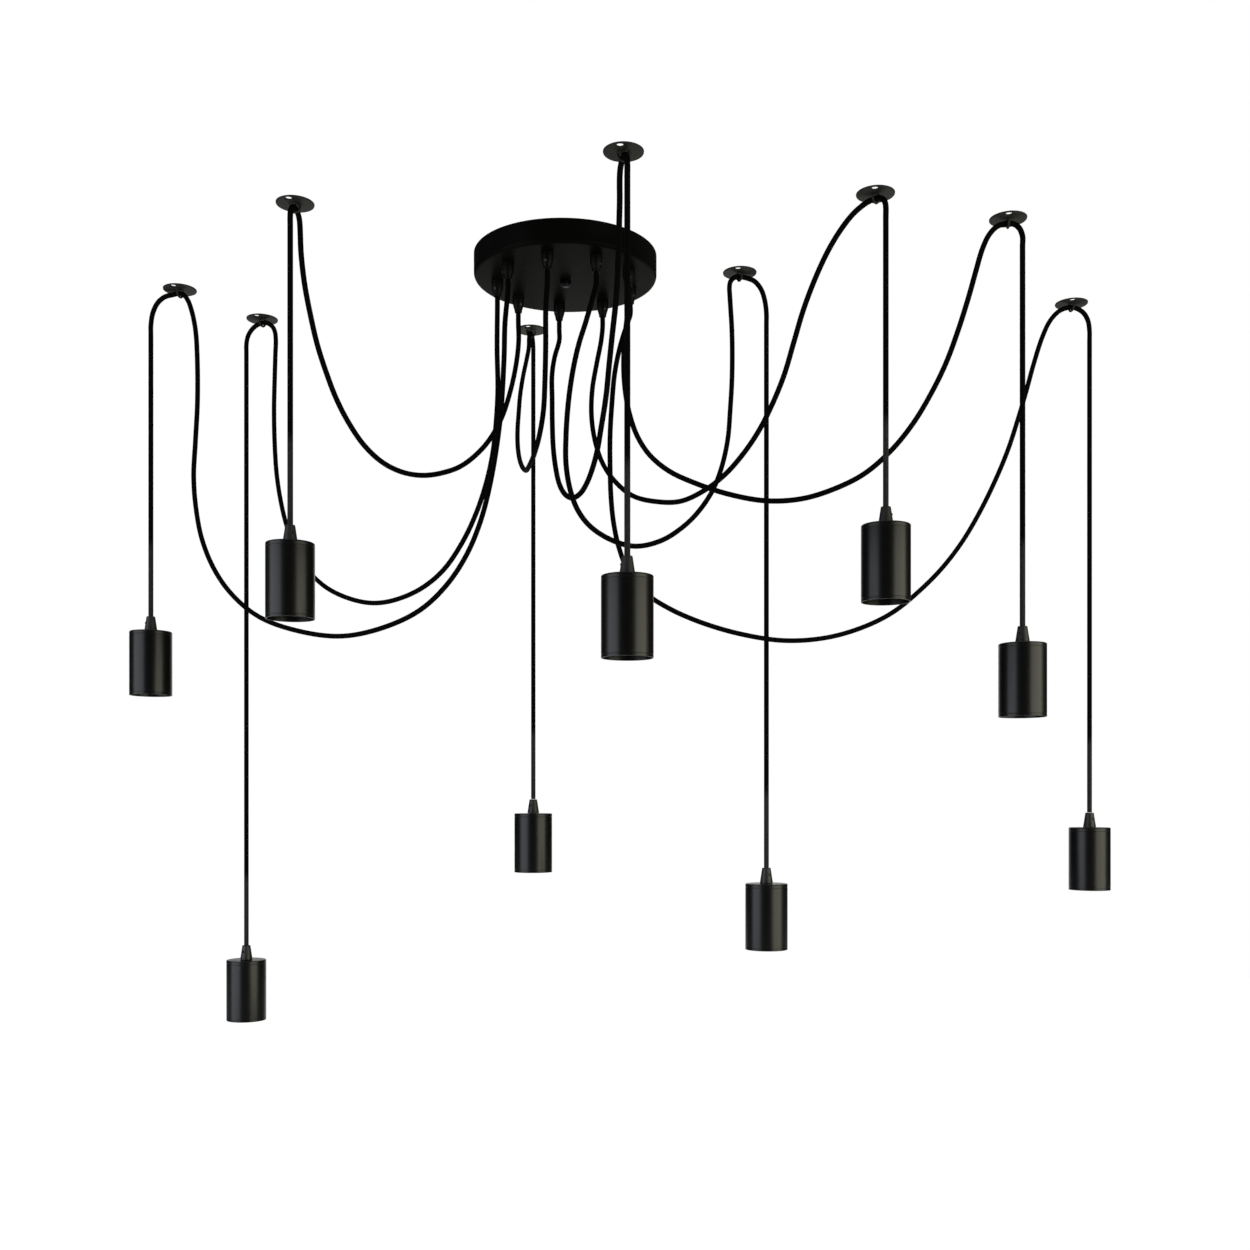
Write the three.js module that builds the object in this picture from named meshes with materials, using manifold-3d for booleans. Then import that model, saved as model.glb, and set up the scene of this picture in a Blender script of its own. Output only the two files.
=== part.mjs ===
// Nine-way swagged pendant light: a round ceiling canopy with nine cord grips, nine textile
// cords that each hang in a swag to a ceiling hook, and a lampholder cup on the end of each.
// Millimetres, +Z up. The origin is the middle of the ceiling bracket's top face, on the
// ceiling, +X runs to the viewer's right and -Y towards the viewer.

import * as THREE from 'three';
import { mergeVertices } from 'three/addons/utils/BufferGeometryUtils.js';
import Module from 'manifold-3d';

const wasm = await Module();
wasm.setup();

// Sizes shared by many pieces

const gap = 0.3; // clearance between pieces that touch
const overrun = 2; // how far a cutter runs past the face it cuts
const cordDiameter = 5.6;
const cordRadius = cordDiameter / 2;
const nippleRadius = 5; // M10 threaded nipple
const nippleHoleRadius = 5.4;

// The canopy, a pressed steel dish with its open side on the ceiling

const canopyRadius = 100;
const canopyHeight = 25;
const canopyWall = 1;
const canopyEdgeRadius = 4.5; // outside radius of the rounded lower edge
const outletCount = 9;
const outletRingRadius = 75;
const outletTurn = 18; // degrees from +X to the first outlet

// The bracket, stud and nut that hold the canopy up

const bracketLength = 130;
const bracketWidth = 22;
const bracketThickness = 2;
const slotLength = 24;
const slotWidth = 5;
const slotInset = 12; // from the strap's end to the slot's end
const bossRadius = 8;
const bossDepth = 6; // how far the tapped boss hangs below the strap
const studRadius = 3; // M6 stud
const studHoleRadius = 3.3;
const studCover = 1.2; // strap metal left above the stud
const nutRadius = 6.2;
const nutLength = 7.5;
const nutBoreDepth = 4.5;
const nutDomeHeight = 2.6;

// The terminal block under the bracket

const terminalWays = 3;
const terminalPitch = 9;
const terminalWidth = 16;
const terminalBase = 5; // height of the solid strip
const terminalTower = 8; // height of each clamp tower under the strip
const terminalTowerRadius = 3.8;
const terminalPlace = 37; // from the middle of the bracket to the middle of the block

// The cord grips, alike at the canopy and on the lampholders

const gripBaseRadius = 7.4;
const gripTipRadius = 4.6;
const gripLength = 17.5;
const gripShoulderShare = 0.28; // part of the length that stays straight
const gripWaistShare = 0.78; // where the taper meets the tip's collar
const gripWaistRadius = 5.1;
const lockNutRadius = 8;
const lockNutHeight = 4;

// The ceiling hooks, each a flat disc with one screw hole and a bent wire hook

const discRadius = 19;
const discThickness = 1.5;
const discEdgeTaper = 0.6;
const screwHoleRadius = 3;
const screwSinkRadius = 4.4;
const screwPlaceRadius = 13.6; // from the disc's middle to the hole
const screwTurn = -103; // degrees from +X
const hookWireRadius = 1.2;
const hookBendRadius = 5.2; // centreline of the wire
const hookTipRise = 1.6; // straight wire above the bend at the open side
const hookRoot = 0.8; // how far the wire is let into the disc

// The lampholder cups and the lampholders inside them

const cupRadius = 24;
const cupHeight = 75;
const cupWall = 1;
const cupEdge = 1.4; // chamfered top edge
const holderRadius = 19.5;
const holderRecess = 6; // from the cup's rim up to the holder's mouth
const socketBoreRadius = 14.1; // clears an E27 cap
const socketDepth = 34;
const holderShoulder = 5; // height of the tapered top of the holder
const holderNeckRadius = 13;

// How finely each kind of piece is divided

const canopySegments = 40;
const edgeSteps = 2;
const holeSegments = 8;
const gripSegments = 9;
const holderSegments = 10;
const cupSegments = 16;
const discSegments = 16;
const wireSegments = 6;
const hookBendSteps = 5;
const strapEndSegments = 4;
const cordSides = 6;
const cordStepDiameters = 3.7; // length of a step along a cord
const nutSegments = 12;

// The places of the cords, as shares of a field of ceiling and of an equal height below it.
// Each route runs down from its outlet, through the swag, over its hook and down again to
// where the lamp starts to hang. crown counts the route point that lies on the hook.

const field = 1000;
const lead = 11; // straight cord below each outlet grip

const pendants = [
  {
    name: 'a', outlet: 5, crown: 25, turn: 161, partShare: -0.048, cupShare: -0.398,
    routeShares: [
      [-0.062, -0.049, -0.090], [-0.063, -0.050, -0.130], [-0.067, -0.051, -0.193],
      [-0.077, -0.048, -0.256], [-0.089, -0.043, -0.300], [-0.105, -0.037, -0.335],
      [-0.127, -0.029, -0.365], [-0.157, -0.018, -0.390], [-0.200, -0.002, -0.407],
      [-0.250, 0.017, -0.414], [-0.305, 0.038, -0.405], [-0.352, 0.055, -0.387],
      [-0.385, 0.067, -0.361], [-0.409, 0.077, -0.330], [-0.425, 0.082, -0.294],
      [-0.433, 0.085, -0.257], [-0.436, 0.086, -0.220], [-0.434, 0.086, -0.180],
      [-0.431, 0.084, -0.135], [-0.431, 0.084, -0.090], [-0.433, 0.085, -0.055],
      [-0.436, 0.086, -0.037], [-0.4395, 0.0875, -0.0245], [-0.4435, 0.089, -0.0145],
      [-0.4485, 0.0905, -0.0077], [-0.454, 0.092, -0.005], [-0.464, 0.0954, -0.0052], [-0.475, 0.099, -0.0068],
      [-0.484, 0.102, -0.013], [-0.490, 0.104, -0.024], [-0.4925, 0.105, -0.038],
    ],
  },
  {
    name: 'b', outlet: 4, crown: 27, turn: 152, partShare: -0.038, cupShare: -0.795,
    routeShares: [
      [-0.075, -0.001, -0.100], [-0.074, -0.003, -0.147], [-0.076, -0.004, -0.185],
      [-0.080, -0.001, -0.217], [-0.088, 0.004, -0.249], [-0.100, 0.012, -0.280],
      [-0.116, 0.022, -0.309], [-0.139, 0.037, -0.337], [-0.166, 0.053, -0.355],
      [-0.200, 0.075, -0.365], [-0.229, 0.093, -0.366], [-0.260, 0.112, -0.358],
      [-0.293, 0.133, -0.341], [-0.318, 0.148, -0.318], [-0.335, 0.159, -0.292],
      [-0.348, 0.167, -0.262], [-0.357, 0.173, -0.230], [-0.363, 0.176, -0.195],
      [-0.366, 0.178, -0.155], [-0.367, 0.179, -0.115], [-0.366, 0.1785, -0.075],
      [-0.365, 0.178, -0.045], [-0.3645, 0.178, -0.030], [-0.366, 0.1785, -0.0185],
      [-0.370, 0.1808, -0.0115], [-0.3765, 0.184, -0.0067], [-0.380, 0.186, -0.0055],
      [-0.384, 0.188, -0.005], [-0.393, 0.1925, -0.007], [-0.400, 0.1963, -0.0115],
      [-0.405, 0.199, -0.0185], [-0.407, 0.200, -0.028],
    ],
  },
  {
    name: 'c', outlet: 3, crown: 22, turn: 262, partShare: -0.028, cupShare: -0.342,
    routeShares: [
      [-0.055, 0.046, -0.075], [-0.057, 0.042, -0.100], [-0.063, 0.034, -0.135],
      [-0.073, 0.026, -0.170], [-0.089, 0.014, -0.202], [-0.112, -0.004, -0.229],
      [-0.131, -0.019, -0.241], [-0.152, -0.035, -0.248], [-0.172, -0.051, -0.248],
      [-0.190, -0.065, -0.241], [-0.206, -0.078, -0.227], [-0.219, -0.088, -0.208],
      [-0.230, -0.097, -0.186], [-0.239, -0.104, -0.161], [-0.247, -0.110, -0.134],
      [-0.253, -0.115, -0.105], [-0.258, -0.119, -0.075], [-0.261, -0.121, -0.045],
      [-0.262, -0.120, -0.0265], [-0.2623, -0.1201, -0.018], [-0.2625, -0.1218, -0.0115],
      [-0.2631, -0.1266, -0.0067], [-0.264, -0.133, -0.005], [-0.2649, -0.1394, -0.0067],
      [-0.2655, -0.1442, -0.0115], [-0.2657, -0.1459, -0.018],
    ],
  },
  {
    name: 'd', outlet: 6, crown: 20, turn: 82, partShare: -0.028, cupShare: -0.613,
    routeShares: [
      [-0.017, -0.078, -0.085], [-0.017, -0.079, -0.124], [-0.018, -0.076, -0.160],
      [-0.020, -0.067, -0.187], [-0.025, -0.051, -0.208], [-0.033, -0.021, -0.222],
      [-0.041, 0.014, -0.226], [-0.047, 0.049, -0.222], [-0.054, 0.084, -0.209],
      [-0.060, 0.117, -0.190], [-0.064, 0.144, -0.168], [-0.066, 0.167, -0.143],
      [-0.066, 0.184, -0.118], [-0.065, 0.195, -0.092], [-0.062, 0.205, -0.065],
      [-0.058, 0.211, -0.042], [-0.0555, 0.2131, -0.0265], [-0.0553, 0.2131, -0.018],
      [-0.055, 0.2148, -0.0115], [-0.0544, 0.2196, -0.0067], [-0.0535, 0.226, -0.005],
      [-0.0526, 0.2324, -0.0067], [-0.052, 0.2372, -0.0115], [-0.0517, 0.2389, -0.018],
    ],
  },
  {
    name: 'e', outlet: 2, crown: 25, turn: 286, partShare: -0.028, cupShare: -0.392,
    routeShares: [
      [-0.010, 0.067, -0.068], [-0.015, 0.056, -0.092], [-0.017, 0.040, -0.118],
      [-0.016, 0.025, -0.147], [-0.015, 0.010, -0.177], [-0.013, -0.007, -0.211],
      [-0.009, -0.026, -0.240], [-0.004, -0.045, -0.261], [0.003, -0.061, -0.275],
      [0.011, -0.074, -0.281], [0.019, -0.085, -0.279], [0.027, -0.099, -0.270],
      [0.036, -0.118, -0.249], [0.042, -0.137, -0.223], [0.047, -0.156, -0.198],
      [0.050, -0.171, -0.174], [0.053, -0.183, -0.150], [0.057, -0.196, -0.118],
      [0.059, -0.207, -0.085], [0.060, -0.218, -0.055], [0.0605, -0.2245, -0.036],
      [0.0604, -0.227, -0.0265], [0.0605, -0.2275, -0.018], [0.061, -0.2292, -0.0115],
      [0.0623, -0.2337, -0.0067], [0.064, -0.240, -0.005], [0.0657, -0.2463, -0.0067],
      [0.067, -0.2508, -0.0115], [0.0675, -0.2525, -0.018],
    ],
  },
  {
    name: 'f', outlet: 7, crown: 25, turn: 23, partShare: -0.052, cupShare: -0.691,
    routeShares: [
      [0.031, -0.074, -0.075], [0.025, -0.081, -0.099], [0.017, -0.090, -0.129],
      [0.011, -0.095, -0.160], [0.007, -0.098, -0.192], [0.005, -0.099, -0.223],
      [0.005, -0.099, -0.252], [0.009, -0.096, -0.277], [0.016, -0.091, -0.296],
      [0.028, -0.082, -0.311], [0.048, -0.067, -0.322], [0.075, -0.046, -0.326],
      [0.104, -0.024, -0.316], [0.130, -0.004, -0.296], [0.149, 0.011, -0.274],
      [0.164, 0.022, -0.249], [0.174, 0.030, -0.222], [0.181, 0.035, -0.190],
      [0.184, 0.038, -0.155], [0.186, 0.039, -0.120], [0.186, 0.039, -0.070],
      [0.1835, 0.0376, -0.029], [0.183, 0.0372, -0.018], [0.1845, 0.0378, -0.0115],
      [0.189, 0.0396, -0.0067], [0.195, 0.042, -0.005], [0.204, 0.0458, -0.0052], [0.2125, 0.049, -0.0075],
      [0.220, 0.0522, -0.015], [0.2245, 0.054, -0.027], [0.2265, 0.055, -0.042],
    ],
  },
  {
    name: 'g', outlet: 1, crown: 24, turn: 318, partShare: -0.028, cupShare: -0.328,
    routeShares: [
      [0.038, 0.060, -0.072], [0.033, 0.061, -0.097], [0.028, 0.062, -0.126],
      [0.027, 0.063, -0.155], [0.031, 0.060, -0.185], [0.040, 0.053, -0.213],
      [0.054, 0.042, -0.236], [0.074, 0.026, -0.256], [0.100, 0.006, -0.267],
      [0.126, -0.014, -0.271], [0.150, -0.033, -0.264], [0.171, -0.049, -0.251],
      [0.189, -0.063, -0.233], [0.205, -0.075, -0.211], [0.218, -0.085, -0.186],
      [0.229, -0.094, -0.159], [0.238, -0.101, -0.128], [0.247, -0.108, -0.097],
      [0.258, -0.116, -0.068], [0.270, -0.124, -0.043], [0.281, -0.1315, -0.026],
      [0.291, -0.1385, -0.0145], [0.2985, -0.1442, -0.009], [0.305, -0.1493, -0.006],
      [0.3115, -0.1545, -0.005], [0.3161, -0.1591, -0.0067], [0.3189, -0.163, -0.0115],
      [0.3197, -0.1646, -0.018],
    ],
  },
  {
    name: 'h', outlet: 8, crown: 24, turn: 352, partShare: -0.029, cupShare: -0.436,
    routeShares: [
      [0.068, -0.036, -0.075], [0.065, -0.040, -0.105], [0.064, -0.043, -0.135],
      [0.066, -0.044, -0.163], [0.071, -0.045, -0.188], [0.079, -0.046, -0.210],
      [0.092, -0.048, -0.230], [0.112, -0.050, -0.247], [0.140, -0.054, -0.261],
      [0.176, -0.059, -0.274], [0.214, -0.065, -0.282], [0.250, -0.070, -0.281],
      [0.283, -0.075, -0.272], [0.314, -0.079, -0.257], [0.341, -0.083, -0.234],
      [0.363, -0.086, -0.207], [0.381, -0.089, -0.177], [0.396, -0.091, -0.146],
      [0.408, -0.093, -0.113], [0.418, -0.094, -0.081], [0.426, -0.095, -0.052],
      [0.432, -0.096, -0.031], [0.439, -0.0965, -0.016], [0.4475, -0.097, -0.0075],
      [0.458, -0.098, -0.005], [0.464, -0.0989, -0.0063], [0.469, -0.0995, -0.0105],
      [0.4722, -0.100, -0.019],
    ],
  },
  {
    name: 'i', outlet: 0, crown: 31, turn: 12, partShare: -0.042, cupShare: -0.629,
    routeShares: [
      [0.067, 0.015, -0.070], [0.060, 0.009, -0.095], [0.054, 0.003, -0.127],
      [0.051, 0.002, -0.160], [0.049, 0.002, -0.195], [0.049, 0.002, -0.230],
      [0.050, 0.002, -0.263], [0.053, 0.003, -0.292], [0.059, 0.004, -0.319],
      [0.070, 0.007, -0.346], [0.088, 0.011, -0.367], [0.114, 0.017, -0.383],
      [0.150, 0.022, -0.398], [0.195, 0.030, -0.410], [0.245, 0.041, -0.416],
      [0.295, 0.055, -0.411], [0.340, 0.068, -0.397], [0.378, 0.083, -0.377],
      [0.410, 0.091, -0.351], [0.437, 0.097, -0.324], [0.462, 0.103, -0.292],
      [0.484, 0.109, -0.256], [0.503, 0.114, -0.219], [0.519, 0.117, -0.182],
      [0.532, 0.121, -0.145], [0.543, 0.123, -0.109], [0.553, 0.126, -0.075],
      [0.563, 0.128, -0.045], [0.573, 0.1305, -0.024], [0.584, 0.133, -0.0115],
      [0.592, 0.1345, -0.007], [0.601, 0.136, -0.005], [0.609, 0.138, -0.006],
      [0.617, 0.1395, -0.0105], [0.6225, 0.1405, -0.0195], [0.6245, 0.141, -0.032],
    ],
  },
];

// Materials

const blackSteel = new THREE.MeshStandardMaterial({ color: 0x1b1b19, metalness: 0.2, roughness: 0.45 });
const satinBlack = new THREE.MeshStandardMaterial({ color: 0x151516, metalness: 0.5, roughness: 0.35 });
const blackPlastic = new THREE.MeshStandardMaterial({ color: 0x101010, metalness: 0, roughness: 0.5 });
const blackTextile = new THREE.MeshStandardMaterial({ color: 0x0c0c0c, metalness: 0, roughness: 0.95 });
const zincSteel = new THREE.MeshStandardMaterial({ color: 0xa9adb0, metalness: 0.9, roughness: 0.4 });
const palePlastic = new THREE.MeshStandardMaterial({ color: 0xe6e2d8, metalness: 0, roughness: 0.55 });

// Making, joining and cutting closed solids

function toSolid(geometry) {
  const bare = geometry.index ? geometry.toNonIndexed() : geometry.clone();
  bare.deleteAttribute('normal');
  bare.deleteAttribute('uv');
  const merged = mergeVertices(bare, 1e-4);
  const places = new Float32Array(merged.attributes.position.array);
  const corners = [];
  for (let i = 0; i < merged.index.count; i += 3) {
    const [a, b, c] = [merged.index.getX(i), merged.index.getX(i + 1), merged.index.getX(i + 2)];
    if (a !== b && b !== c && c !== a) corners.push(a, b, c);
  }
  const mesh = new wasm.Mesh({ numProp: 3, vertProperties: places, triVerts: new Uint32Array(corners) });
  return new wasm.Manifold(mesh);
}

function toGeometry(solid) {
  const mesh = solid.getMesh();
  const geometry = new THREE.BufferGeometry();
  geometry.setAttribute('position', new THREE.BufferAttribute(new Float32Array(mesh.vertProperties), 3));
  geometry.setIndex(new THREE.BufferAttribute(new Uint32Array(mesh.triVerts), 1));
  const flat = geometry.toNonIndexed();
  flat.computeVertexNormals();
  return flat;
}

// A turned piece about Z, from a profile of [radius, height] points that runs downwards
// along the outside.
function turned(profile, segments) {
  const points = profile.map(([radius, height]) => new THREE.Vector2(radius, height)).reverse();
  const geometry = new THREE.LatheGeometry(points, segments);
  geometry.rotateX(Math.PI / 2);
  return geometry;
}

function arcPoints(centreRadius, centreHeight, radius, from, to, steps) {
  const points = [];
  for (let i = 0; i <= steps; i += 1) {
    const angle = THREE.MathUtils.degToRad(from + ((to - from) * i) / steps);
    points.push([centreRadius + radius * Math.cos(angle), centreHeight + radius * Math.sin(angle)]);
  }
  return points;
}

function uprightCylinder(radius, top, bottom, segments, x = 0, y = 0) {
  const geometry = new THREE.CylinderGeometry(radius, radius, top - bottom, segments);
  geometry.rotateX(Math.PI / 2);
  geometry.translate(x, y, (top + bottom) / 2);
  return geometry;
}

function outletPlace(index) {
  const angle = THREE.MathUtils.degToRad(outletTurn + (360 / outletCount) * index);
  return [outletRingRadius * Math.cos(angle), outletRingRadius * Math.sin(angle)];
}

const light = new THREE.Group();

function addPiece(name, geometry, material, x = 0, y = 0, z = 0) {
  const mesh = new THREE.Mesh(geometry, material);
  mesh.name = name;
  mesh.position.set(x, y, z);
  light.add(mesh);
  return mesh;
}

// Canopy

const faceInside = -canopyHeight + canopyWall;

function canopyGeometry() {
  const bend = canopyRadius - canopyEdgeRadius;
  const rise = -canopyHeight + canopyEdgeRadius;
  const profile = [
    [canopyRadius, 0],
    ...arcPoints(bend, rise, canopyEdgeRadius, 0, -90, edgeSteps),
    [studHoleRadius, -canopyHeight],
    [studHoleRadius, faceInside],
    ...arcPoints(bend, rise, canopyEdgeRadius - canopyWall, -90, 0, edgeSteps),
    [canopyRadius - canopyWall, 0],
    [canopyRadius, 0],
  ];
  let solid = toSolid(turned(profile, canopySegments));
  for (let i = 0; i < outletCount; i += 1) {
    const [x, y] = outletPlace(i);
    const top = faceInside + overrun;
    const bottom = -canopyHeight - overrun;
    const hole = uprightCylinder(nippleHoleRadius, top, bottom, holeSegments, x, y);
    solid = solid.subtract(toSolid(hole));
  }
  return toGeometry(solid);
}

// Ceiling bracket, a strap with two screw slots and a tapped boss in the middle

function strapOutline(length, width) {
  const round = width / 2;
  const straight = length / 2 - round;
  const outline = new THREE.Shape();
  outline.moveTo(-straight, -round);
  outline.lineTo(straight, -round);
  outline.absarc(straight, 0, round, -Math.PI / 2, Math.PI / 2, false);
  outline.lineTo(-straight, round);
  outline.absarc(-straight, 0, round, Math.PI / 2, (3 * Math.PI) / 2, false);
  return outline;
}

function slab(outline, thickness, top) {
  const geometry = new THREE.ExtrudeGeometry(outline, {
    depth: thickness,
    bevelEnabled: false,
    curveSegments: strapEndSegments,
  });
  geometry.translate(0, 0, top - thickness);
  return geometry;
}

function bracketGeometry() {
  let solid = toSolid(slab(strapOutline(bracketLength, bracketWidth), bracketThickness, 0));
  const slotMiddle = bracketLength / 2 - slotInset - slotLength / 2;
  for (const side of [-1, 1]) {
    const slot = slab(strapOutline(slotLength, slotWidth), bracketThickness + 2 * overrun, overrun);
    slot.translate(side * slotMiddle, 0, 0);
    solid = solid.subtract(toSolid(slot));
  }
  const bossFoot = -bracketThickness - bossDepth;
  solid = solid.add(toSolid(uprightCylinder(bossRadius, -bracketThickness / 2, bossFoot, nutSegments)));
  const bore = uprightCylinder(studHoleRadius, -studCover, bossFoot - overrun, nutSegments);
  return toGeometry(solid.subtract(toSolid(bore)));
}

// Terminal block, an insulated strip with a clamp tower for each way

function terminalGeometry() {
  const half = (terminalWays * terminalPitch) / 2;
  const top = -bracketThickness - gap;
  const outline = new THREE.Shape();
  outline.moveTo(-half, 0);
  outline.lineTo(-half, -terminalBase);
  for (let way = 0; way < terminalWays; way += 1) {
    const middle = -half + (way + 0.5) * terminalPitch;
    const crown = -terminalBase - terminalTower + terminalTowerRadius;
    outline.lineTo(middle - terminalTowerRadius, -terminalBase);
    outline.absarc(middle, crown, terminalTowerRadius, Math.PI, 2 * Math.PI, false);
    outline.lineTo(middle + terminalTowerRadius, -terminalBase);
  }
  outline.lineTo(half, -terminalBase);
  outline.lineTo(half, 0);
  const geometry = new THREE.ExtrudeGeometry(outline, {
    depth: terminalWidth,
    bevelEnabled: false,
    curveSegments: strapEndSegments,
  });
  geometry.rotateX(Math.PI / 2);
  geometry.translate(terminalPlace, terminalWidth / 2, top);
  return geometry;
}

// Fixing nut, a blind dome nut on the stud under the canopy's face

const nutTop = -canopyHeight - gap;
const studBottom = nutTop - nutBoreDepth + gap;

function nutGeometry() {
  const domeStart = nutTop - nutLength + nutDomeHeight;
  const profile = [
    [0, nutTop - nutBoreDepth],
    [studHoleRadius, nutTop - nutBoreDepth],
    [studHoleRadius, nutTop],
    [nutRadius, nutTop],
    [nutRadius, domeStart],
    [nutRadius * Math.cos(Math.PI / 6), domeStart - nutDomeHeight / 2],
    [nutRadius / 2, domeStart - nutDomeHeight * Math.cos(Math.PI / 6)],
    [0, nutTop - nutLength],
  ];
  return turned(profile, nutSegments);
}

// Outlet grip: a lock nut and nipple above the canopy's face, a tapering cord grip below it

function gripProfile(seat, direction) {
  const at = (share) => seat + direction * gripLength * share;
  return [
    [gripBaseRadius, seat],
    [gripBaseRadius, at(gripShoulderShare)],
    [gripWaistRadius, at(gripWaistShare)],
    [gripTipRadius, at(1)],
    [0, at(1)],
  ];
}

const outletSeat = -canopyHeight - gap;
const outletTip = outletSeat - gripLength;

function outletGripGeometry() {
  const lockNutFoot = faceInside + gap;
  const profile = [
    [0, lockNutFoot + lockNutHeight],
    [lockNutRadius, lockNutFoot + lockNutHeight],
    [lockNutRadius, lockNutFoot],
    [nippleRadius, lockNutFoot],
    [nippleRadius, outletSeat],
    ...gripProfile(outletSeat, -1),
  ];
  return turned(profile, gripSegments);
}

// Ceiling hook: the disc, its countersunk screw hole and the wire hook, whose bend hangs
// just under the cord that crosses it

class WirePath extends THREE.Curve {
  constructor(places) {
    super();
    this.places = places;
  }

  getPoint(share, target = new THREE.Vector3()) {
    const steps = this.places.length - 1;
    const place = THREE.MathUtils.clamp(share, 0, 1) * steps;
    const index = Math.min(Math.floor(place), steps - 1);
    return target.lerpVectors(this.places[index], this.places[index + 1], place - index);
  }

  getPointAt(share, target) {
    return this.getPoint(share, target);
  }

  getTangentAt(share, target = new THREE.Vector3()) {
    const steps = this.places.length - 1;
    const index = Math.round(share * steps);
    const before = this.places[Math.max(index - 1, 0)];
    const after = this.places[Math.min(index + 1, steps)];
    return target.subVectors(after, before).normalize();
  }

  getSpacedPoints(divisions) {
    return this.getPoints(divisions);
  }
}

function roundSection(radius, sides) {
  const section = new THREE.Shape();
  for (let i = 0; i < sides; i += 1) {
    const angle = (2 * Math.PI * i) / sides;
    const [x, y] = [radius * Math.cos(angle), radius * Math.sin(angle)];
    if (i === 0) section.moveTo(x, y);
    else section.lineTo(x, y);
  }
  section.closePath();
  return section;
}

function tubeAlong(places, radius, sides) {
  return new THREE.ExtrudeGeometry(roundSection(radius, sides), {
    steps: places.length - 1,
    extrudePath: new WirePath(places),
    bevelEnabled: false,
  });
}

function hookGeometry(crownHeight, turn) {
  const disc = turned([
    [0, 0],
    [discRadius, 0],
    [discRadius - discEdgeTaper, -discThickness],
    [0, -discThickness],
  ], discSegments);
  const screwAngle = THREE.MathUtils.degToRad(screwTurn);
  const hole = new THREE.CylinderGeometry(screwHoleRadius, screwSinkRadius, discThickness + 2 * gap, holeSegments);
  hole.rotateX(Math.PI / 2);
  hole.translate(
    screwPlaceRadius * Math.cos(screwAngle),
    screwPlaceRadius * Math.sin(screwAngle),
    -discThickness / 2,
  );
  const bendBottom = crownHeight - cordRadius - gap - hookWireRadius;
  const bendMiddle = bendBottom + hookBendRadius;
  const places = [new THREE.Vector3(0, hookBendRadius, -discThickness + hookRoot)];
  for (let i = 0; i <= hookBendSteps; i += 1) {
    const angle = (Math.PI * i) / hookBendSteps;
    const across = hookBendRadius * Math.cos(angle);
    places.push(new THREE.Vector3(0, across, bendMiddle - hookBendRadius * Math.sin(angle)));
  }
  places.push(new THREE.Vector3(0, -hookBendRadius, bendMiddle + hookTipRise));
  const wire = tubeAlong(places, hookWireRadius, wireSegments);
  wire.rotateZ(THREE.MathUtils.degToRad(turn));
  return toGeometry(toSolid(disc).subtract(toSolid(hole)).add(toSolid(wire)));
}

// Cord routes

class CordLine {
  constructor(points) {
    this.spline = new THREE.CatmullRomCurve3(points, false, 'centripetal');
    const last = points.length - 1;
    this.places = [this.spline.getPoint(0)];
    for (let i = 0; i < last; i += 1) {
      const span = points[i].distanceTo(points[i + 1]);
      const steps = Math.max(1, Math.round(span / (cordStepDiameters * cordDiameter)));
      for (let j = 1; j <= steps; j += 1) this.places.push(this.spline.getPoint((i + j / steps) / last));
    }
  }
}

function swagGeometry(pendant) {
  const [outletX, outletY] = outletPlace(pendant.outlet);
  const free = pendant.routeShares.map((share) => new THREE.Vector3(...share).multiplyScalar(field));
  const end = free[free.length - 1];
  const start = outletTip - gap;
  const points = [
    new THREE.Vector3(outletX, outletY, start),
    new THREE.Vector3(outletX, outletY, start - lead),
    ...free,
    new THREE.Vector3(end.x, end.y, field * pendant.partShare),
  ];
  return tubeAlong(new CordLine(points).places, cordRadius, cordSides);
}

// Straight drop with a round nose, so that it can swing under the end of the swag

function dropGeometry(top, bottom) {
  const middle = top - cordRadius;
  const slope = Math.PI / 4;
  const profile = [
    [0, top],
    [cordRadius * Math.sin(slope), middle + cordRadius * Math.cos(slope)],
    [cordRadius, middle],
    [cordRadius, bottom],
    [0, bottom],
  ];
  return turned(profile, cordSides);
}

// Cup, a spun cylinder open below, with a nipple hole in its top

function cupGeometry() {
  const profile = [
    [nippleHoleRadius, 0],
    [cupRadius - cupEdge, 0],
    [cupRadius, -cupEdge],
    [cupRadius, -cupHeight],
    [cupRadius - cupWall, -cupHeight],
    [cupRadius - cupWall, -cupEdge],
    [cupRadius - cupEdge, -cupWall],
    [nippleHoleRadius, -cupWall],
    [nippleHoleRadius, 0],
  ];
  return turned(profile, cupSegments);
}

// Lampholder: the cord grip above the cup, the nipple through it and the socket body inside

function lampholderGeometry() {
  const grip = gripProfile(gap, 1).reverse();
  const shoulderTop = -cupWall - gap;
  const mouth = -cupHeight + holderRecess;
  const profile = [
    ...grip,
    [nippleRadius, gap],
    [nippleRadius, shoulderTop],
    [holderNeckRadius, shoulderTop],
    [holderRadius, shoulderTop - holderShoulder],
    [holderRadius, mouth],
    [socketBoreRadius, mouth],
    [socketBoreRadius, mouth + socketDepth],
    [0, mouth + socketDepth],
  ];
  return turned(profile, holderSegments);
}

// Putting the light together

addPiece('canopy', canopyGeometry(), blackSteel);
addPiece('ceiling_bracket', bracketGeometry(), zincSteel);
addPiece('centre_stud', uprightCylinder(studRadius, -studCover - gap, studBottom, nutSegments), zincSteel);
addPiece('fixing_nut', nutGeometry(), satinBlack);
addPiece('terminal_block', terminalGeometry(), palePlastic);

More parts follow.
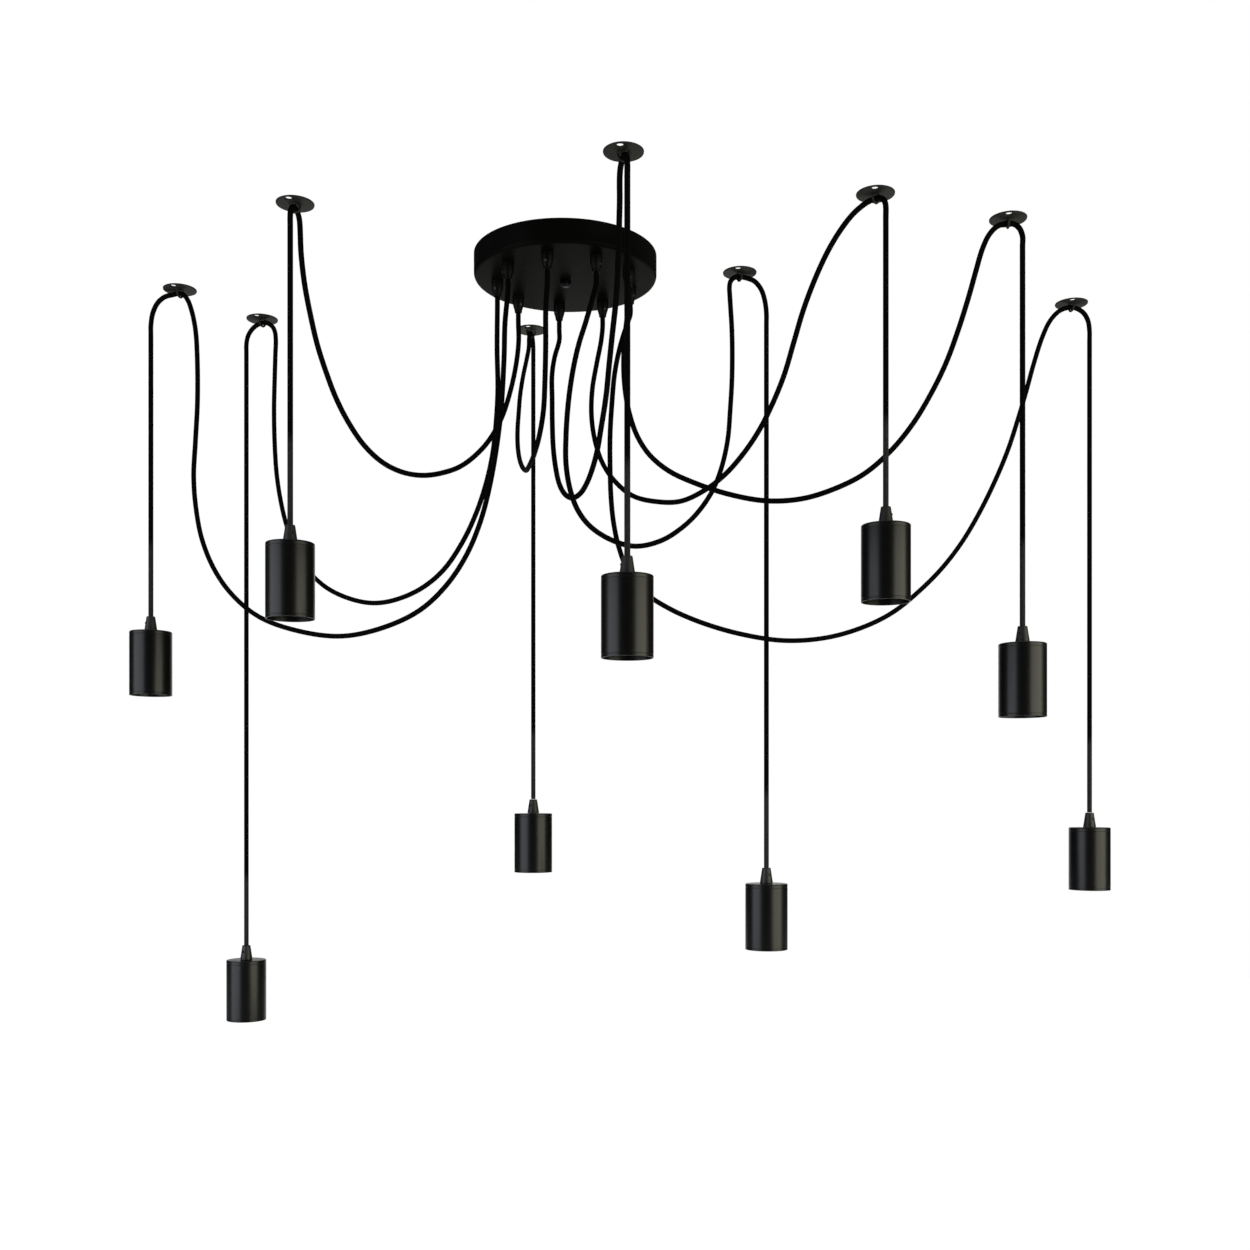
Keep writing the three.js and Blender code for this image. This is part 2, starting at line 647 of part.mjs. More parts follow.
for (const pendant of pendants) {
  const { name, outlet, crown, turn, partShare, cupShare, routeShares } = pendant;
  const [outletX, outletY] = outletPlace(outlet);
  const [hookX, hookY, crownHeight] = routeShares[crown].map((share) => share * field);
  const [dropX, dropY] = routeShares[routeShares.length - 1].map((share) => share * field);
  const cupTop = field * cupShare;
  const dropBottom = cupTop + gap + gripLength + gap;

  addPiece(`outlet_grip_${name}`, outletGripGeometry(), blackPlastic, outletX, outletY);
  addPiece(`swag_${name}`, swagGeometry(pendant), blackTextile);
  addPiece(`hook_${name}`, hookGeometry(crownHeight, turn), blackSteel, hookX, hookY);
  addPiece(`drop_${name}`, dropGeometry(field * partShare - gap, dropBottom), blackTextile, dropX, dropY);
  addPiece(`cup_${name}`, cupGeometry(), satinBlack, dropX, dropY, cupTop);
  addPiece(`lampholder_${name}`, lampholderGeometry(), blackPlastic, dropX, dropY, cupTop);
}

export default light;
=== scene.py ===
# %% [markdown]
# A swagged pendant light, dressed for a studio picture. The light is held up by its ceiling
# canopy, and nine textile cords leave it. Each cord hangs in a swag, passes over a small hook
# on the ceiling and drops to a lampholder cup. We start by loading the packed model, which is
# a fixed frame: every piece made below goes where that frame says, in metres.

# %% Load the frame
import math
import bpy
import bmesh
from mathutils import Matrix, Vector


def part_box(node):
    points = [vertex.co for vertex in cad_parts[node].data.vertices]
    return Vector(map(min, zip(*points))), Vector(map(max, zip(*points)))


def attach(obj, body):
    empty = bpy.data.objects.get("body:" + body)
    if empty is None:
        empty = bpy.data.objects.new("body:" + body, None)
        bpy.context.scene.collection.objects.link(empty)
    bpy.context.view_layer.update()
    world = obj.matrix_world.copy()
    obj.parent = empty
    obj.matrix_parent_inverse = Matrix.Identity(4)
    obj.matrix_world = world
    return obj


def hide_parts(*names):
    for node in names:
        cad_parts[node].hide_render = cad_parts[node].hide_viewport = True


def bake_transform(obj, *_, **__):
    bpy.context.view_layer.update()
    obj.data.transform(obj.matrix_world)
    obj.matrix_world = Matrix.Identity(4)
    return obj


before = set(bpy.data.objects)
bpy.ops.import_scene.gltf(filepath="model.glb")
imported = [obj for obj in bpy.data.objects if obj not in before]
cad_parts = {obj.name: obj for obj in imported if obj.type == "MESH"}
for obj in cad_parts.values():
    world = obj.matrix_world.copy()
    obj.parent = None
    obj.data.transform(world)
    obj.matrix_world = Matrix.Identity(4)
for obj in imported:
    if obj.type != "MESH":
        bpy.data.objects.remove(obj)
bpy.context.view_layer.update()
LETTERS = "abcdefghi"
FIXED = "canopy_set"
mm = 0.001

# %% [markdown]
# The camera looks level along +Y from about a metre and a half in front, a little below the
# middle of the light. A product camera keeps its back upright and shifts the lens upwards, so
# that hanging cords stay parallel in the picture. Blender's camera has the same shift. The
# first helper puts any data block into the scene as an object, a camera as well as a mesh.

# %% Camera
def new_object(name, data):
    piece = bpy.data.objects.new(name, data)
    bpy.context.scene.collection.objects.link(piece)
    return piece


view = bpy.data.cameras.new("studio_camera")
view.sensor_fit = "HORIZONTAL"
view.sensor_width = 36.0
view.lens = 38.5
view.shift_y = 0.14
view.clip_start = 0.05
view.clip_end = 60.0
camera = new_object("studio_camera", view)
camera.location = (0.0654, -1.468, -0.596)
camera.rotation_euler = (math.radians(90), 0, 0)
bpy.context.scene.camera = camera
print("camera at", tuple(camera.location))

# %% [markdown]
# The cords are the shape of this light, so they come first. Each one leaves its outlet
# straight down, hangs in a swag, crosses its hook in one smooth arch and comes down plumb.
# We write the route as points and draw one smooth line through them. A centripetal spline
# is used because it passes through every point and doesn't loop where points lie close.

# %% Cord routes, in metres
CORD = 5.6 * mm
LEAD = 11 * mm  # the straight start of a swag, under its grip
GAP = 0.3 * mm  # between packed pieces that touch

ROUTES = {
    "a": [
        (-0.062, -0.049, -0.090), (-0.063, -0.050, -0.130), (-0.067, -0.051, -0.193),
        (-0.077, -0.048, -0.256), (-0.089, -0.043, -0.300), (-0.105, -0.037, -0.335),
        (-0.127, -0.029, -0.365), (-0.157, -0.018, -0.390), (-0.200, -0.002, -0.407),
        (-0.250, 0.017, -0.414), (-0.305, 0.038, -0.405), (-0.352, 0.055, -0.387),
        (-0.385, 0.067, -0.361), (-0.409, 0.077, -0.330), (-0.425, 0.082, -0.294),
        (-0.433, 0.085, -0.257), (-0.436, 0.086, -0.220), (-0.434, 0.086, -0.180),
        (-0.431, 0.084, -0.135), (-0.431, 0.084, -0.090), (-0.433, 0.085, -0.055),
        (-0.436, 0.086, -0.037), (-0.4395, 0.0875, -0.0245), (-0.4435, 0.089, -0.0145),
        (-0.4485, 0.0905, -0.0077), (-0.454, 0.092, -0.005), (-0.464, 0.0954, -0.0052),
        (-0.475, 0.099, -0.0068), (-0.484, 0.102, -0.013), (-0.490, 0.104, -0.024),
        (-0.4925, 0.105, -0.038)],
    "b": [
        (-0.075, -0.001, -0.100), (-0.074, -0.003, -0.147), (-0.076, -0.004, -0.185),
        (-0.080, -0.001, -0.217), (-0.088, 0.004, -0.249), (-0.100, 0.012, -0.280),
        (-0.116, 0.022, -0.309), (-0.139, 0.037, -0.337), (-0.166, 0.053, -0.355),
        (-0.200, 0.075, -0.365), (-0.229, 0.093, -0.366), (-0.260, 0.112, -0.358),
        (-0.293, 0.133, -0.341), (-0.318, 0.148, -0.318), (-0.335, 0.159, -0.292),
        (-0.348, 0.167, -0.262), (-0.357, 0.173, -0.230), (-0.363, 0.176, -0.195),
        (-0.366, 0.178, -0.155), (-0.367, 0.179, -0.115), (-0.366, 0.1785, -0.075),
        (-0.365, 0.178, -0.045), (-0.3645, 0.178, -0.030), (-0.366, 0.1785, -0.0185),
        (-0.370, 0.1808, -0.0115), (-0.3765, 0.184, -0.0067), (-0.380, 0.186, -0.0055),
        (-0.384, 0.188, -0.005), (-0.393, 0.1925, -0.007), (-0.400, 0.1963, -0.0115),
        (-0.405, 0.199, -0.0185), (-0.407, 0.200, -0.028)],
    "c": [
        (-0.055, 0.046, -0.075), (-0.057, 0.042, -0.100), (-0.063, 0.034, -0.135),
        (-0.073, 0.026, -0.170), (-0.089, 0.014, -0.202), (-0.112, -0.004, -0.229),
        (-0.131, -0.019, -0.241), (-0.152, -0.035, -0.248), (-0.172, -0.051, -0.248),
        (-0.190, -0.065, -0.241), (-0.206, -0.078, -0.227), (-0.219, -0.088, -0.208),
        (-0.230, -0.097, -0.186), (-0.239, -0.104, -0.161), (-0.247, -0.110, -0.134),
        (-0.253, -0.115, -0.105), (-0.258, -0.119, -0.075), (-0.261, -0.121, -0.045),
        (-0.262, -0.120, -0.0265), (-0.2623, -0.1201, -0.018), (-0.2625, -0.1218, -0.0115),
        (-0.2631, -0.1266, -0.0067), (-0.264, -0.133, -0.005), (-0.2649, -0.1394, -0.0067),
        (-0.2655, -0.1442, -0.0115), (-0.2657, -0.1459, -0.018)],
    "d": [
        (-0.017, -0.078, -0.085), (-0.017, -0.079, -0.124), (-0.018, -0.076, -0.160),
        (-0.020, -0.067, -0.187), (-0.025, -0.051, -0.208), (-0.033, -0.021, -0.222),
        (-0.041, 0.014, -0.226), (-0.047, 0.049, -0.222), (-0.054, 0.084, -0.209),
        (-0.060, 0.117, -0.190), (-0.064, 0.144, -0.168), (-0.066, 0.167, -0.143),
        (-0.066, 0.184, -0.118), (-0.065, 0.195, -0.092), (-0.062, 0.205, -0.065),
        (-0.058, 0.211, -0.042), (-0.0555, 0.2131, -0.0265), (-0.0553, 0.2131, -0.018),
        (-0.055, 0.2148, -0.0115), (-0.0544, 0.2196, -0.0067), (-0.0535, 0.226, -0.005),
        (-0.0526, 0.2324, -0.0067), (-0.052, 0.2372, -0.0115), (-0.0517, 0.2389, -0.018)],
    "e": [
        (-0.010, 0.067, -0.068), (-0.015, 0.056, -0.092), (-0.017, 0.040, -0.118),
        (-0.016, 0.025, -0.147), (-0.015, 0.010, -0.177), (-0.013, -0.007, -0.211),
        (-0.009, -0.026, -0.240), (-0.004, -0.045, -0.261), (0.003, -0.061, -0.275),
        (0.011, -0.074, -0.281), (0.019, -0.085, -0.279), (0.027, -0.099, -0.270),
        (0.036, -0.118, -0.249), (0.042, -0.137, -0.223), (0.047, -0.156, -0.198),
        (0.050, -0.171, -0.174), (0.053, -0.183, -0.150), (0.057, -0.196, -0.118),
        (0.059, -0.207, -0.085), (0.060, -0.218, -0.055), (0.0605, -0.2245, -0.036),
        (0.0604, -0.227, -0.0265), (0.0605, -0.2275, -0.018), (0.061, -0.2292, -0.0115),
        (0.0623, -0.2337, -0.0067), (0.064, -0.240, -0.005), (0.0657, -0.2463, -0.0067),
        (0.067, -0.2508, -0.0115), (0.0675, -0.2525, -0.018)],
    "f": [
        (0.031, -0.074, -0.075), (0.025, -0.081, -0.099), (0.017, -0.090, -0.129),
        (0.011, -0.095, -0.160), (0.007, -0.098, -0.192), (0.005, -0.099, -0.223),
        (0.005, -0.099, -0.252), (0.009, -0.096, -0.277), (0.016, -0.091, -0.296),
        (0.028, -0.082, -0.311), (0.048, -0.067, -0.322), (0.075, -0.046, -0.326),
        (0.104, -0.024, -0.316), (0.130, -0.004, -0.296), (0.149, 0.011, -0.274),
        (0.164, 0.022, -0.249), (0.174, 0.030, -0.222), (0.181, 0.035, -0.190),
        (0.184, 0.038, -0.155), (0.186, 0.039, -0.120), (0.186, 0.039, -0.070),
        (0.1835, 0.0376, -0.029), (0.183, 0.0372, -0.018), (0.1845, 0.0378, -0.0115),
        (0.189, 0.0396, -0.0067), (0.195, 0.042, -0.005), (0.204, 0.0458, -0.0052),
        (0.2125, 0.049, -0.0075), (0.220, 0.0522, -0.015), (0.2245, 0.054, -0.027),
        (0.2265, 0.055, -0.042)],
    "g": [
        (0.038, 0.060, -0.072), (0.033, 0.061, -0.097), (0.028, 0.062, -0.126),
        (0.027, 0.063, -0.155), (0.031, 0.060, -0.185), (0.040, 0.053, -0.213),
        (0.054, 0.042, -0.236), (0.074, 0.026, -0.256), (0.100, 0.006, -0.267),
        (0.126, -0.014, -0.271), (0.150, -0.033, -0.264), (0.171, -0.049, -0.251),
        (0.189, -0.063, -0.233), (0.205, -0.075, -0.211), (0.218, -0.085, -0.186),
        (0.229, -0.094, -0.159), (0.238, -0.101, -0.128), (0.247, -0.108, -0.097),
        (0.258, -0.116, -0.068), (0.270, -0.124, -0.043), (0.281, -0.1315, -0.026),
        (0.291, -0.1385, -0.0145), (0.2985, -0.1442, -0.009), (0.305, -0.1493, -0.006),
        (0.3115, -0.1545, -0.005), (0.3161, -0.1591, -0.0067), (0.3189, -0.163, -0.0115),
        (0.3197, -0.1646, -0.018)],
    "h": [
        (0.068, -0.036, -0.075), (0.065, -0.040, -0.105), (0.064, -0.043, -0.135),
        (0.066, -0.044, -0.163), (0.071, -0.045, -0.188), (0.079, -0.046, -0.210),
        (0.092, -0.048, -0.230), (0.112, -0.050, -0.247), (0.140, -0.054, -0.261),
        (0.176, -0.059, -0.274), (0.214, -0.065, -0.282), (0.250, -0.070, -0.281),
        (0.283, -0.075, -0.272), (0.314, -0.079, -0.257), (0.341, -0.083, -0.234),
        (0.363, -0.086, -0.207), (0.381, -0.089, -0.177), (0.396, -0.091, -0.146),
        (0.408, -0.093, -0.113), (0.418, -0.094, -0.081), (0.426, -0.095, -0.052),
        (0.432, -0.096, -0.031), (0.439, -0.0965, -0.016), (0.4475, -0.097, -0.0075),
        (0.458, -0.098, -0.005), (0.464, -0.0989, -0.0063), (0.469, -0.0995, -0.0105),
        (0.4722, -0.100, -0.019)],
    "i": [
        (0.067, 0.015, -0.070), (0.060, 0.009, -0.095), (0.054, 0.003, -0.127),
        (0.051, 0.002, -0.160), (0.049, 0.002, -0.195), (0.049, 0.002, -0.230),
        (0.050, 0.002, -0.263), (0.053, 0.003, -0.292), (0.059, 0.004, -0.319),
        (0.070, 0.007, -0.346), (0.088, 0.011, -0.367), (0.114, 0.017, -0.383),
        (0.150, 0.022, -0.398), (0.195, 0.030, -0.410), (0.245, 0.041, -0.416),
        (0.295, 0.055, -0.411), (0.340, 0.068, -0.397), (0.378, 0.083, -0.377),
        (0.410, 0.091, -0.351), (0.437, 0.097, -0.324), (0.462, 0.103, -0.292),
        (0.484, 0.109, -0.256), (0.503, 0.114, -0.219), (0.519, 0.117, -0.182),
        (0.532, 0.121, -0.145), (0.543, 0.123, -0.109), (0.553, 0.126, -0.075),
        (0.563, 0.128, -0.045), (0.573, 0.1305, -0.024), (0.584, 0.133, -0.0115),
        (0.592, 0.1345, -0.007), (0.601, 0.136, -0.005), (0.609, 0.138, -0.006),
        (0.617, 0.1395, -0.0105), (0.6225, 0.1405, -0.0195), (0.6245, 0.141, -0.032)],
}
print("route points:", {k: len(points) for k, points in ROUTES.items()})

# %% [markdown]
# A route leaves out where its cord starts and how far down it ends. Both are read from the
# frame, so that the cord meets what the frame has there. Two helpers find the middle of a
# packed node's underside and of its top, and a third steps straight down from a place.

# %% Places on packed nodes
def node_foot(name):
    """The middle of the underside of a packed node."""
    low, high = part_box(name)
    return Vector(((low.x + high.x) / 2, (low.y + high.y) / 2, low.z))


def node_head(name):
    """The middle of the top of a packed node."""
    low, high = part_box(name)
    return Vector(((low.x + high.x) / 2, (low.y + high.y) / 2, high.z))


def below(place, distance):
    return place - Vector((0, 0, distance))


print("lowest lamp rim at", round(min(node_foot(f"cup_{k}").z for k in LETTERS), 3), "m")

# %% [markdown]
# Between two points of a route the line is a cubic that takes its directions from the points
# on either side. Their spacing counts by the square root of the distance, which is what
# centripetal means, and so the short steps at a hook and the long ones in a swag join without
# a kink. Each cubic is then cut into short steps.

# %% A smooth line through points
LEAST_STEP = 1e-6  # so that two points in one place don't divide by nothing


def spline_piece(a, b, c, d, share):
    """A point between b and c of a centripetal spline through a, b, c and d."""
    first, middle, last = [max((q - p).length ** 0.5, LEAST_STEP) for p, q in ((a, b), (b, c), (c, d))]
    leave = ((b - a) / first - (c - a) / (first + middle) + (c - b) / middle) * middle
    arrive = ((c - b) / middle - (d - b) / (middle + last) + (d - c) / last) * middle
    bend = 3 * (c - b) - 2 * leave - arrive
    twist = 2 * (b - c) + leave + arrive
    return b + leave * share + bend * share ** 2 + twist * share ** 3


def smooth_line(points, step):
    points = [Vector(p) for p in points]
    before = [2 * points[0] - points[1]] + points[:-2]
    after = points[2:] + [2 * points[-1] - points[-2]]
    line = [points[0]]
    for a, b, c, d in zip(before, points[:-1], points[1:], after):
        count = max(1, math.ceil((c - b).length / step))
        line += [spline_piece(a, b, c, d, i / count) for i in range(1, count + 1)]
    return line


print("points on a smooth corner:", len(smooth_line([(0, 0, 0), (1, 0, 0), (1, 1, 0)], 0.1)))

# %% [markdown]
# A swag starts just below its grip, comes straight down for about two diameters, follows its
# route and ends where its drop begins. The length along the line is the real length of cord.

# %% Lines of the nine swags
def swag_line(letter, step=2.5 * mm):
    start = below(node_foot(f"outlet_grip_{letter}"), GAP)
    part = below(node_head(f"drop_{letter}"), -GAP)
    last = ROUTES[letter][-1]
    end = Vector((last[0], last[1], part.z))
    return smooth_line([start, below(start, LEAD), *ROUTES[letter], end], step)


def line_length(line):
    return sum((q - p).length for p, q in zip(line, line[1:]))


print("swag lengths:", {k: round(line_length(swag_line(k)), 3) for k in LETTERS})

# %% [markdown]
# A cord's surface is a tube swept along its line. The section must not spin as the line
# turns, or the braid would look wrung. So each ring takes the ring before it and turns it by
# the same small rotation that the line makes there.

# %% Rings along a line
def ring_frames(line):
    """For each point of the line, two directions that span its section."""
    heading = (line[1] - line[0]).normalized()
    side = heading.orthogonal().normalized()
    frames = []
    for i, point in enumerate(line):
        before, after = line[max(i - 1, 0)], line[min(i + 1, len(line) - 1)]
        turned = (after - before).normalized()
        side = heading.rotation_difference(turned) @ side
        side = (side - turned * side.dot(turned)).normalized()
        heading = turned
        frames.append((point, side, turned.cross(side)))
    return frames


print("rings along cord a:", len(ring_frames(swag_line("a"))))

# %% [markdown]
# The tube joins its rings with faces and closes both ends. It also carries a flat map, once
# round and then along in circumferences, which the braid's pattern will read. A mesh is
# shaded smooth, except where two faces meet at more than the given angle.

# %% Tubes
def smooth(mesh, degrees=38):
    mesh.polygons.foreach_set("use_smooth", [True] * len(mesh.polygons))
    mesh.set_sharp_from_angle(angle=math.radians(degrees))
    return mesh


def tube_mesh(name, line, radius, sides=16):
    verts, faces, flat = [], [], []
    along = 0.0
    places = []
    for i, (point, side, other) in enumerate(ring_frames(line)):
        along += (point - line[i - 1]).length if i else 0.0
        places.append(along / (2 * math.pi * radius))
        for j in range(sides):
            angle = 2 * math.pi * j / sides
            verts.append(point + radius * (side * math.cos(angle) + other * math.sin(angle)))
    for i in range(len(line) - 1):
        for j in range(sides):
            k = (j + 1) % sides
            faces.append((i * sides + j, i * sides + k, (i + 1) * sides + k, (i + 1) * sides + j))
            flat += [(j / sides, places[i]), ((j + 1) / sides, places[i])]
            flat += [((j + 1) / sides, places[i + 1]), (j / sides, places[i + 1])]
    for ring, order in ((0, 1), (len(line) - 1, -1)):
        cap = [ring * sides + j for j in range(sides)][::-order]
        faces.append(tuple(cap))
        flat += [(0.5, places[ring])] * sides
    mesh = bpy.data.meshes.new(name)
    mesh.from_pydata(verts, [], faces)
    layer = mesh.uv_layers.new(name="braid_map")
    layer.data.foreach_set("uv", [value for pair in flat for value in pair])
    return smooth(mesh, 60)


print("tube helper ready")

# %% [markdown]
# A real cord is one length from the canopy to its lamp. The lamp has to swing, so the cord is
# made as two tubes that meet just past the hook. The swag stays with the canopy, and the drop
# is a straight tube from there plumb down to its lamp.

# %% Swags and drops
DROP_STEP, SWING_BEND = 4 * mm, 8 * CORD
swags, drops = {}, {}
for k in LETTERS:
    line = swag_line(k)
    swags[k] = new_object(f"cord_swag_{k}", tube_mesh(f"cord_swag_{k}", line, CORD / 2))
    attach(swags[k], FIXED)
    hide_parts(f"swag_{k}")
    line_length(line)

for k in LETTERS:
    head = swag_line(k)[-1]
    foot = Vector((head.x, head.y, node_foot(f"drop_{k}").z))
    count = math.ceil((head.z - foot.z) / DROP_STEP)
    line = [head.lerp(foot, i / count) for i in range(count + 1)]
    drops[k] = new_object(f"cord_drop_{k}", tube_mesh(f"cord_drop_{k}", line[::-1], CORD / 2))
    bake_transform(drops[k], FIXED, f"pendant_{k}", start=head, end=below(head, SWING_BEND))
    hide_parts(f"drop_{k}")
    line_length(line)
print("cords made:", len(swags) + len(drops))

# %% [markdown]
# Most other pieces are turned: spun cups, a pressed canopy, moulded grips. A lathe mesh is a
# profile carried round an axis. Real edges are never sharp, so one helper first replaces a
# profile's corners by small arcs, and the light then runs along each edge as a thin line.
# Profiles are easiest to read in millimetres, and a second helper takes them so.

# %% Profiles with rounded corners
SIDE_SHARE = 0.49  # the most of a side that one arc takes, so that two arcs don't meet


def rounded(profile, steps=4):
    """Corners given as (radius, height, rounding) become arcs; others stay points."""
    line = []
    for i, (x, y, *rest) in enumerate(profile):
        corner = Vector((x, y))
        size = rest[0] if rest else 0
        if not size or i in (0, len(profile) - 1):
            line.append((x, y))
            continue
        back = Vector(profile[i - 1][:2]) - corner
        ahead = Vector(profile[i + 1][:2]) - corner
        half = back.angle(ahead) / 2
        most = min(back.length, ahead.length) * SIDE_SHARE
        reach = min(size / math.tan(half), most)
        start, end = corner + back.normalized() * reach, corner + ahead.normalized() * reach
        for j in range(steps + 1):
            t = j / steps
            line.append(tuple((1 - t) ** 2 * start + 2 * t * (1 - t) * corner + t ** 2 * end))
    return line


def outline(corners, steps=4):
    """Corners in millimetres, each with or without a rounding, as a profile in metres."""
    return rounded([tuple(value * mm for value in corner) for corner in corners], steps)


print("a rounded square corner:", outline([(0, 0), (1, 0, 0.3), (1, 1)], 2))

# %% [markdown]
# The lathe makes one ring of vertices for each point of the profile and joins each ring to
# the next. A point on the axis is a single vertex. A closed profile, such as the section of a
# cup's wall, has its last ring joined to its first, and an open one starts and ends on the
# axis, so that either way the mesh is a solid with no open edge.

# %% Turned meshes
ON_AXIS = 1e-7


def lathe_mesh(name, profile, segments=64, centre=(0, 0, 0), closed=False):
    """A profile of (radius, height) carried round a vertical axis through centre."""
    shape = bmesh.new()
    cx, cy, cz = centre
    rings = []
    for radius, height in profile:
        if radius < ON_AXIS:
            rings.append([shape.verts.new((cx, cy, cz + height))])
            continue
        ring = []
        for j in range(segments):
            angle = 2 * math.pi * j / segments
            place = (cx + radius * math.cos(angle), cy + radius * math.sin(angle), cz + height)
            ring.append(shape.verts.new(place))
        rings.append(ring)
    pairs = list(zip(rings, rings[1:])) + ([(rings[-1], rings[0])] if closed else [])
    for upper, lower in pairs:
        for j in range(segments):
            k = (j + 1) % segments
            corners = [upper[j % len(upper)], upper[k % len(upper)],
                       lower[k % len(lower)], lower[j % len(lower)]]
            kept = list(dict.fromkeys(corners))
            if len(kept) > 2:
                shape.faces.new(kept)
    bmesh.ops.recalc_face_normals(shape, faces=shape.faces)
    mesh = bpy.data.meshes.new(name)
    shape.to_mesh(mesh)
    shape.free()
    return smooth(mesh)


print("lathe ready")

# %% [markdown]
# Many pieces are several small mouldings and screws that never part, each with a finish of
# its own. They become one object whose faces name their material by number.

# %% Joining meshes
def joined(name, meshes, finishes):
    """One object of several meshes, each with its own finish."""
    whole = bmesh.new()
    used = []
    for mesh, finish in zip(meshes, finishes):
        if finish not in used:
            used.append(finish)
        first = len(whole.faces)
        whole.from_mesh(mesh)
        whole.faces.ensure_lookup_table()
        for face in whole.faces[first:]:
            face.material_index = used.index(finish)
    mesh = bpy.data.meshes.new(name)
    whole.to_mesh(mesh)
    whole.free()
    for finish in used:
        mesh.materials.append(finish)
    return new_object(name, mesh)


def moved(mesh, matrix):
    copy = mesh.copy()
    copy.transform(matrix)
    return copy


print("joining ready")

# %% [markdown]
# Finishes come next. Blender builds a material from nodes, and sums between nodes are tedious
# to wire by hand. The small class below wraps a node's output, so that plain sums such as
# `1 - mask` or `grain * 0.2` add the Math nodes for us.

# %% Sums on sockets
class Flow:
    """A value that runs out of a node."""

    def __init__(self, bench, socket):
        self.bench = bench
        self.socket = socket

    def sum(self, operation, *values):
        return self.bench.node("ShaderNodeMath", {"operation": operation}, dict(enumerate(values)))

    def __add__(self, other):
        return self.sum("ADD", self, other)

    def __radd__(self, other):
        return self.sum("ADD", other, self)

    def __sub__(self, other):
        return self.sum("SUBTRACT", self, other)

    def __rsub__(self, other):
        return self.sum("SUBTRACT", other, self)

    def __mul__(self, other):
        return self.sum("MULTIPLY", self, other)

    def __rmul__(self, other):
        return self.sum("MULTIPLY", other, self)

    def __mod__(self, other):
        return self.sum("FLOORED_MODULO", self, other)

    def floor(self):
        return self.sum("FLOOR", self)

    def sine(self):
        return self.sum("SINE", self)

    def rise(self, low, high):
        """0 at low and 1 at high, smooth between."""
        values = {"Value": self, "From Min": low, "From Max": high}
        settings = {"interpolation_type": "SMOOTHSTEP"}
        return self.bench.node("ShaderNodeMapRange", settings, values, "Result")


print("reflected sums:", [name for name in vars(Flow) if name.startswith("__r")])

# %% [markdown]
# A bench is a tree of nodes. One method adds any node from its type, its settings and the
# values or links of its sockets. The others are for what several finishes need: a noise in
# the piece's own metres, one part of a vector, and a blend of two colours.

# %% A bench for nodes
class Bench:
    """A tree of nodes."""

    def __init__(self, tree):
        self.tree = tree

    def feed(self, socket, value):
        if isinstance(value, Flow):
            self.tree.links.new(value.socket, socket)
        else:
            socket.default_value = value

    def node(self, kind, settings, values, out=0):
        made = self.tree.nodes.new(kind)
        for label, value in settings.items():
            setattr(made, label, value)
        for label, value in values.items():
            self.feed(made.inputs[label], value)
        return Flow(self, made.outputs[out])

    def noise(self, per_metre, detail=2.0, stretch=(1, 1, 1)):
        spot = self.node("ShaderNodeTexCoord", {}, {}, "Object")
        if stretch != (1, 1, 1):
            spot = self.node("ShaderNodeMapping", {}, {"Vector": spot, "Scale": stretch})
        values = {"Vector": spot, "Scale": per_metre, "Detail": detail}
        return self.node("ShaderNodeTexNoise", {}, values, 0)

    def part(self, vector, axis):
        return self.node("ShaderNodeSeparateXYZ", {}, {0: vector}, axis)

    def blend(self, share, first, second):
        """One colour where share is 0 and the other where it is 1."""
        colours = {6: first, 7: second}
        values = {i: c if isinstance(c, Flow) else (*c, 1) for i, c in colours.items()}
        return self.node("ShaderNodeMix", {"data_type": "RGBA"}, {0: share, **values}, 2)


print("bench ready")

# %% [markdown]
# A finish is a bench with a Principled shader at its end. What is the same all over a surface
# is set on the shader itself, and only what varies is wired in. Colours are given as the
# levels that a picture shows, and one helper turns a level into the linear number that the
# shader wants.

# %% Finishes
class Finish(Bench):
    """A material and its shader. What is the same all over is set as the finish is made."""

    def __init__(self, name, **constants):
        self.material = bpy.data.materials.new(name)
        self.material.use_nodes = True
        super().__init__(self.material.node_tree)
        self.shader = self.tree.nodes["Principled BSDF"]
        for label, value in constants.items():
            self.set(label.replace("_", " "), value)

    def set(self, label, value):
        self.feed(self.shader.inputs[label], value)

    def bump(self, height, depth, strength=1.0):
        values = {"Height": height, "Distance": depth, "Strength": strength}
        self.set("Normal", self.node("ShaderNodeBump", {}, values))


def grey(level, tint=(1, 1, 1)):
    """A picture's 0 to 255 level as the linear colour that renders so."""
    share = level / 255
    linear = share / 12.92 if share <= 0.04045 else ((share + 0.055) / 1.055) ** 2.4
    return tuple(linear * part for part in tint)


print("level 128 is", round(grey(128)[0], 3), "in linear light")

# %% [markdown]
# The canopy and the hook discs are powder coated. Powder melts into a skin with a fine
# pebbled surface. It is near black when we look straight at it, and it shines a little when we
# look along it, so the canopy's face is paler than its side. The Principled shader's Fresnel
# does that by itself, if the colour is dark and the specular level low. Two noises give the
# pebble and the slow change in sheen over a large pressing.

# %% Powder coat
def powder_coat(name, level, sheen, rough, tint=(1, 0.99, 0.9)):
    coat = Finish(name, Specular_IOR_Level=sheen)
    pebble = coat.noise(1400, detail=3)
    cloud = coat.noise(14, detail=1)
    shades = grey(level - 3, tint), grey(level + 3, tint)
    coat.set("Base Color", coat.blend(cloud.rise(0.3, 0.7), *shades))
    coat.set("Specular Tint", (*tint, 1))
    coat.set("Roughness", rough - 0.06 + cloud * 0.08 + pebble * 0.06)
    coat.bump(pebble, 0.06 * mm, 0.3)
    return coat.material


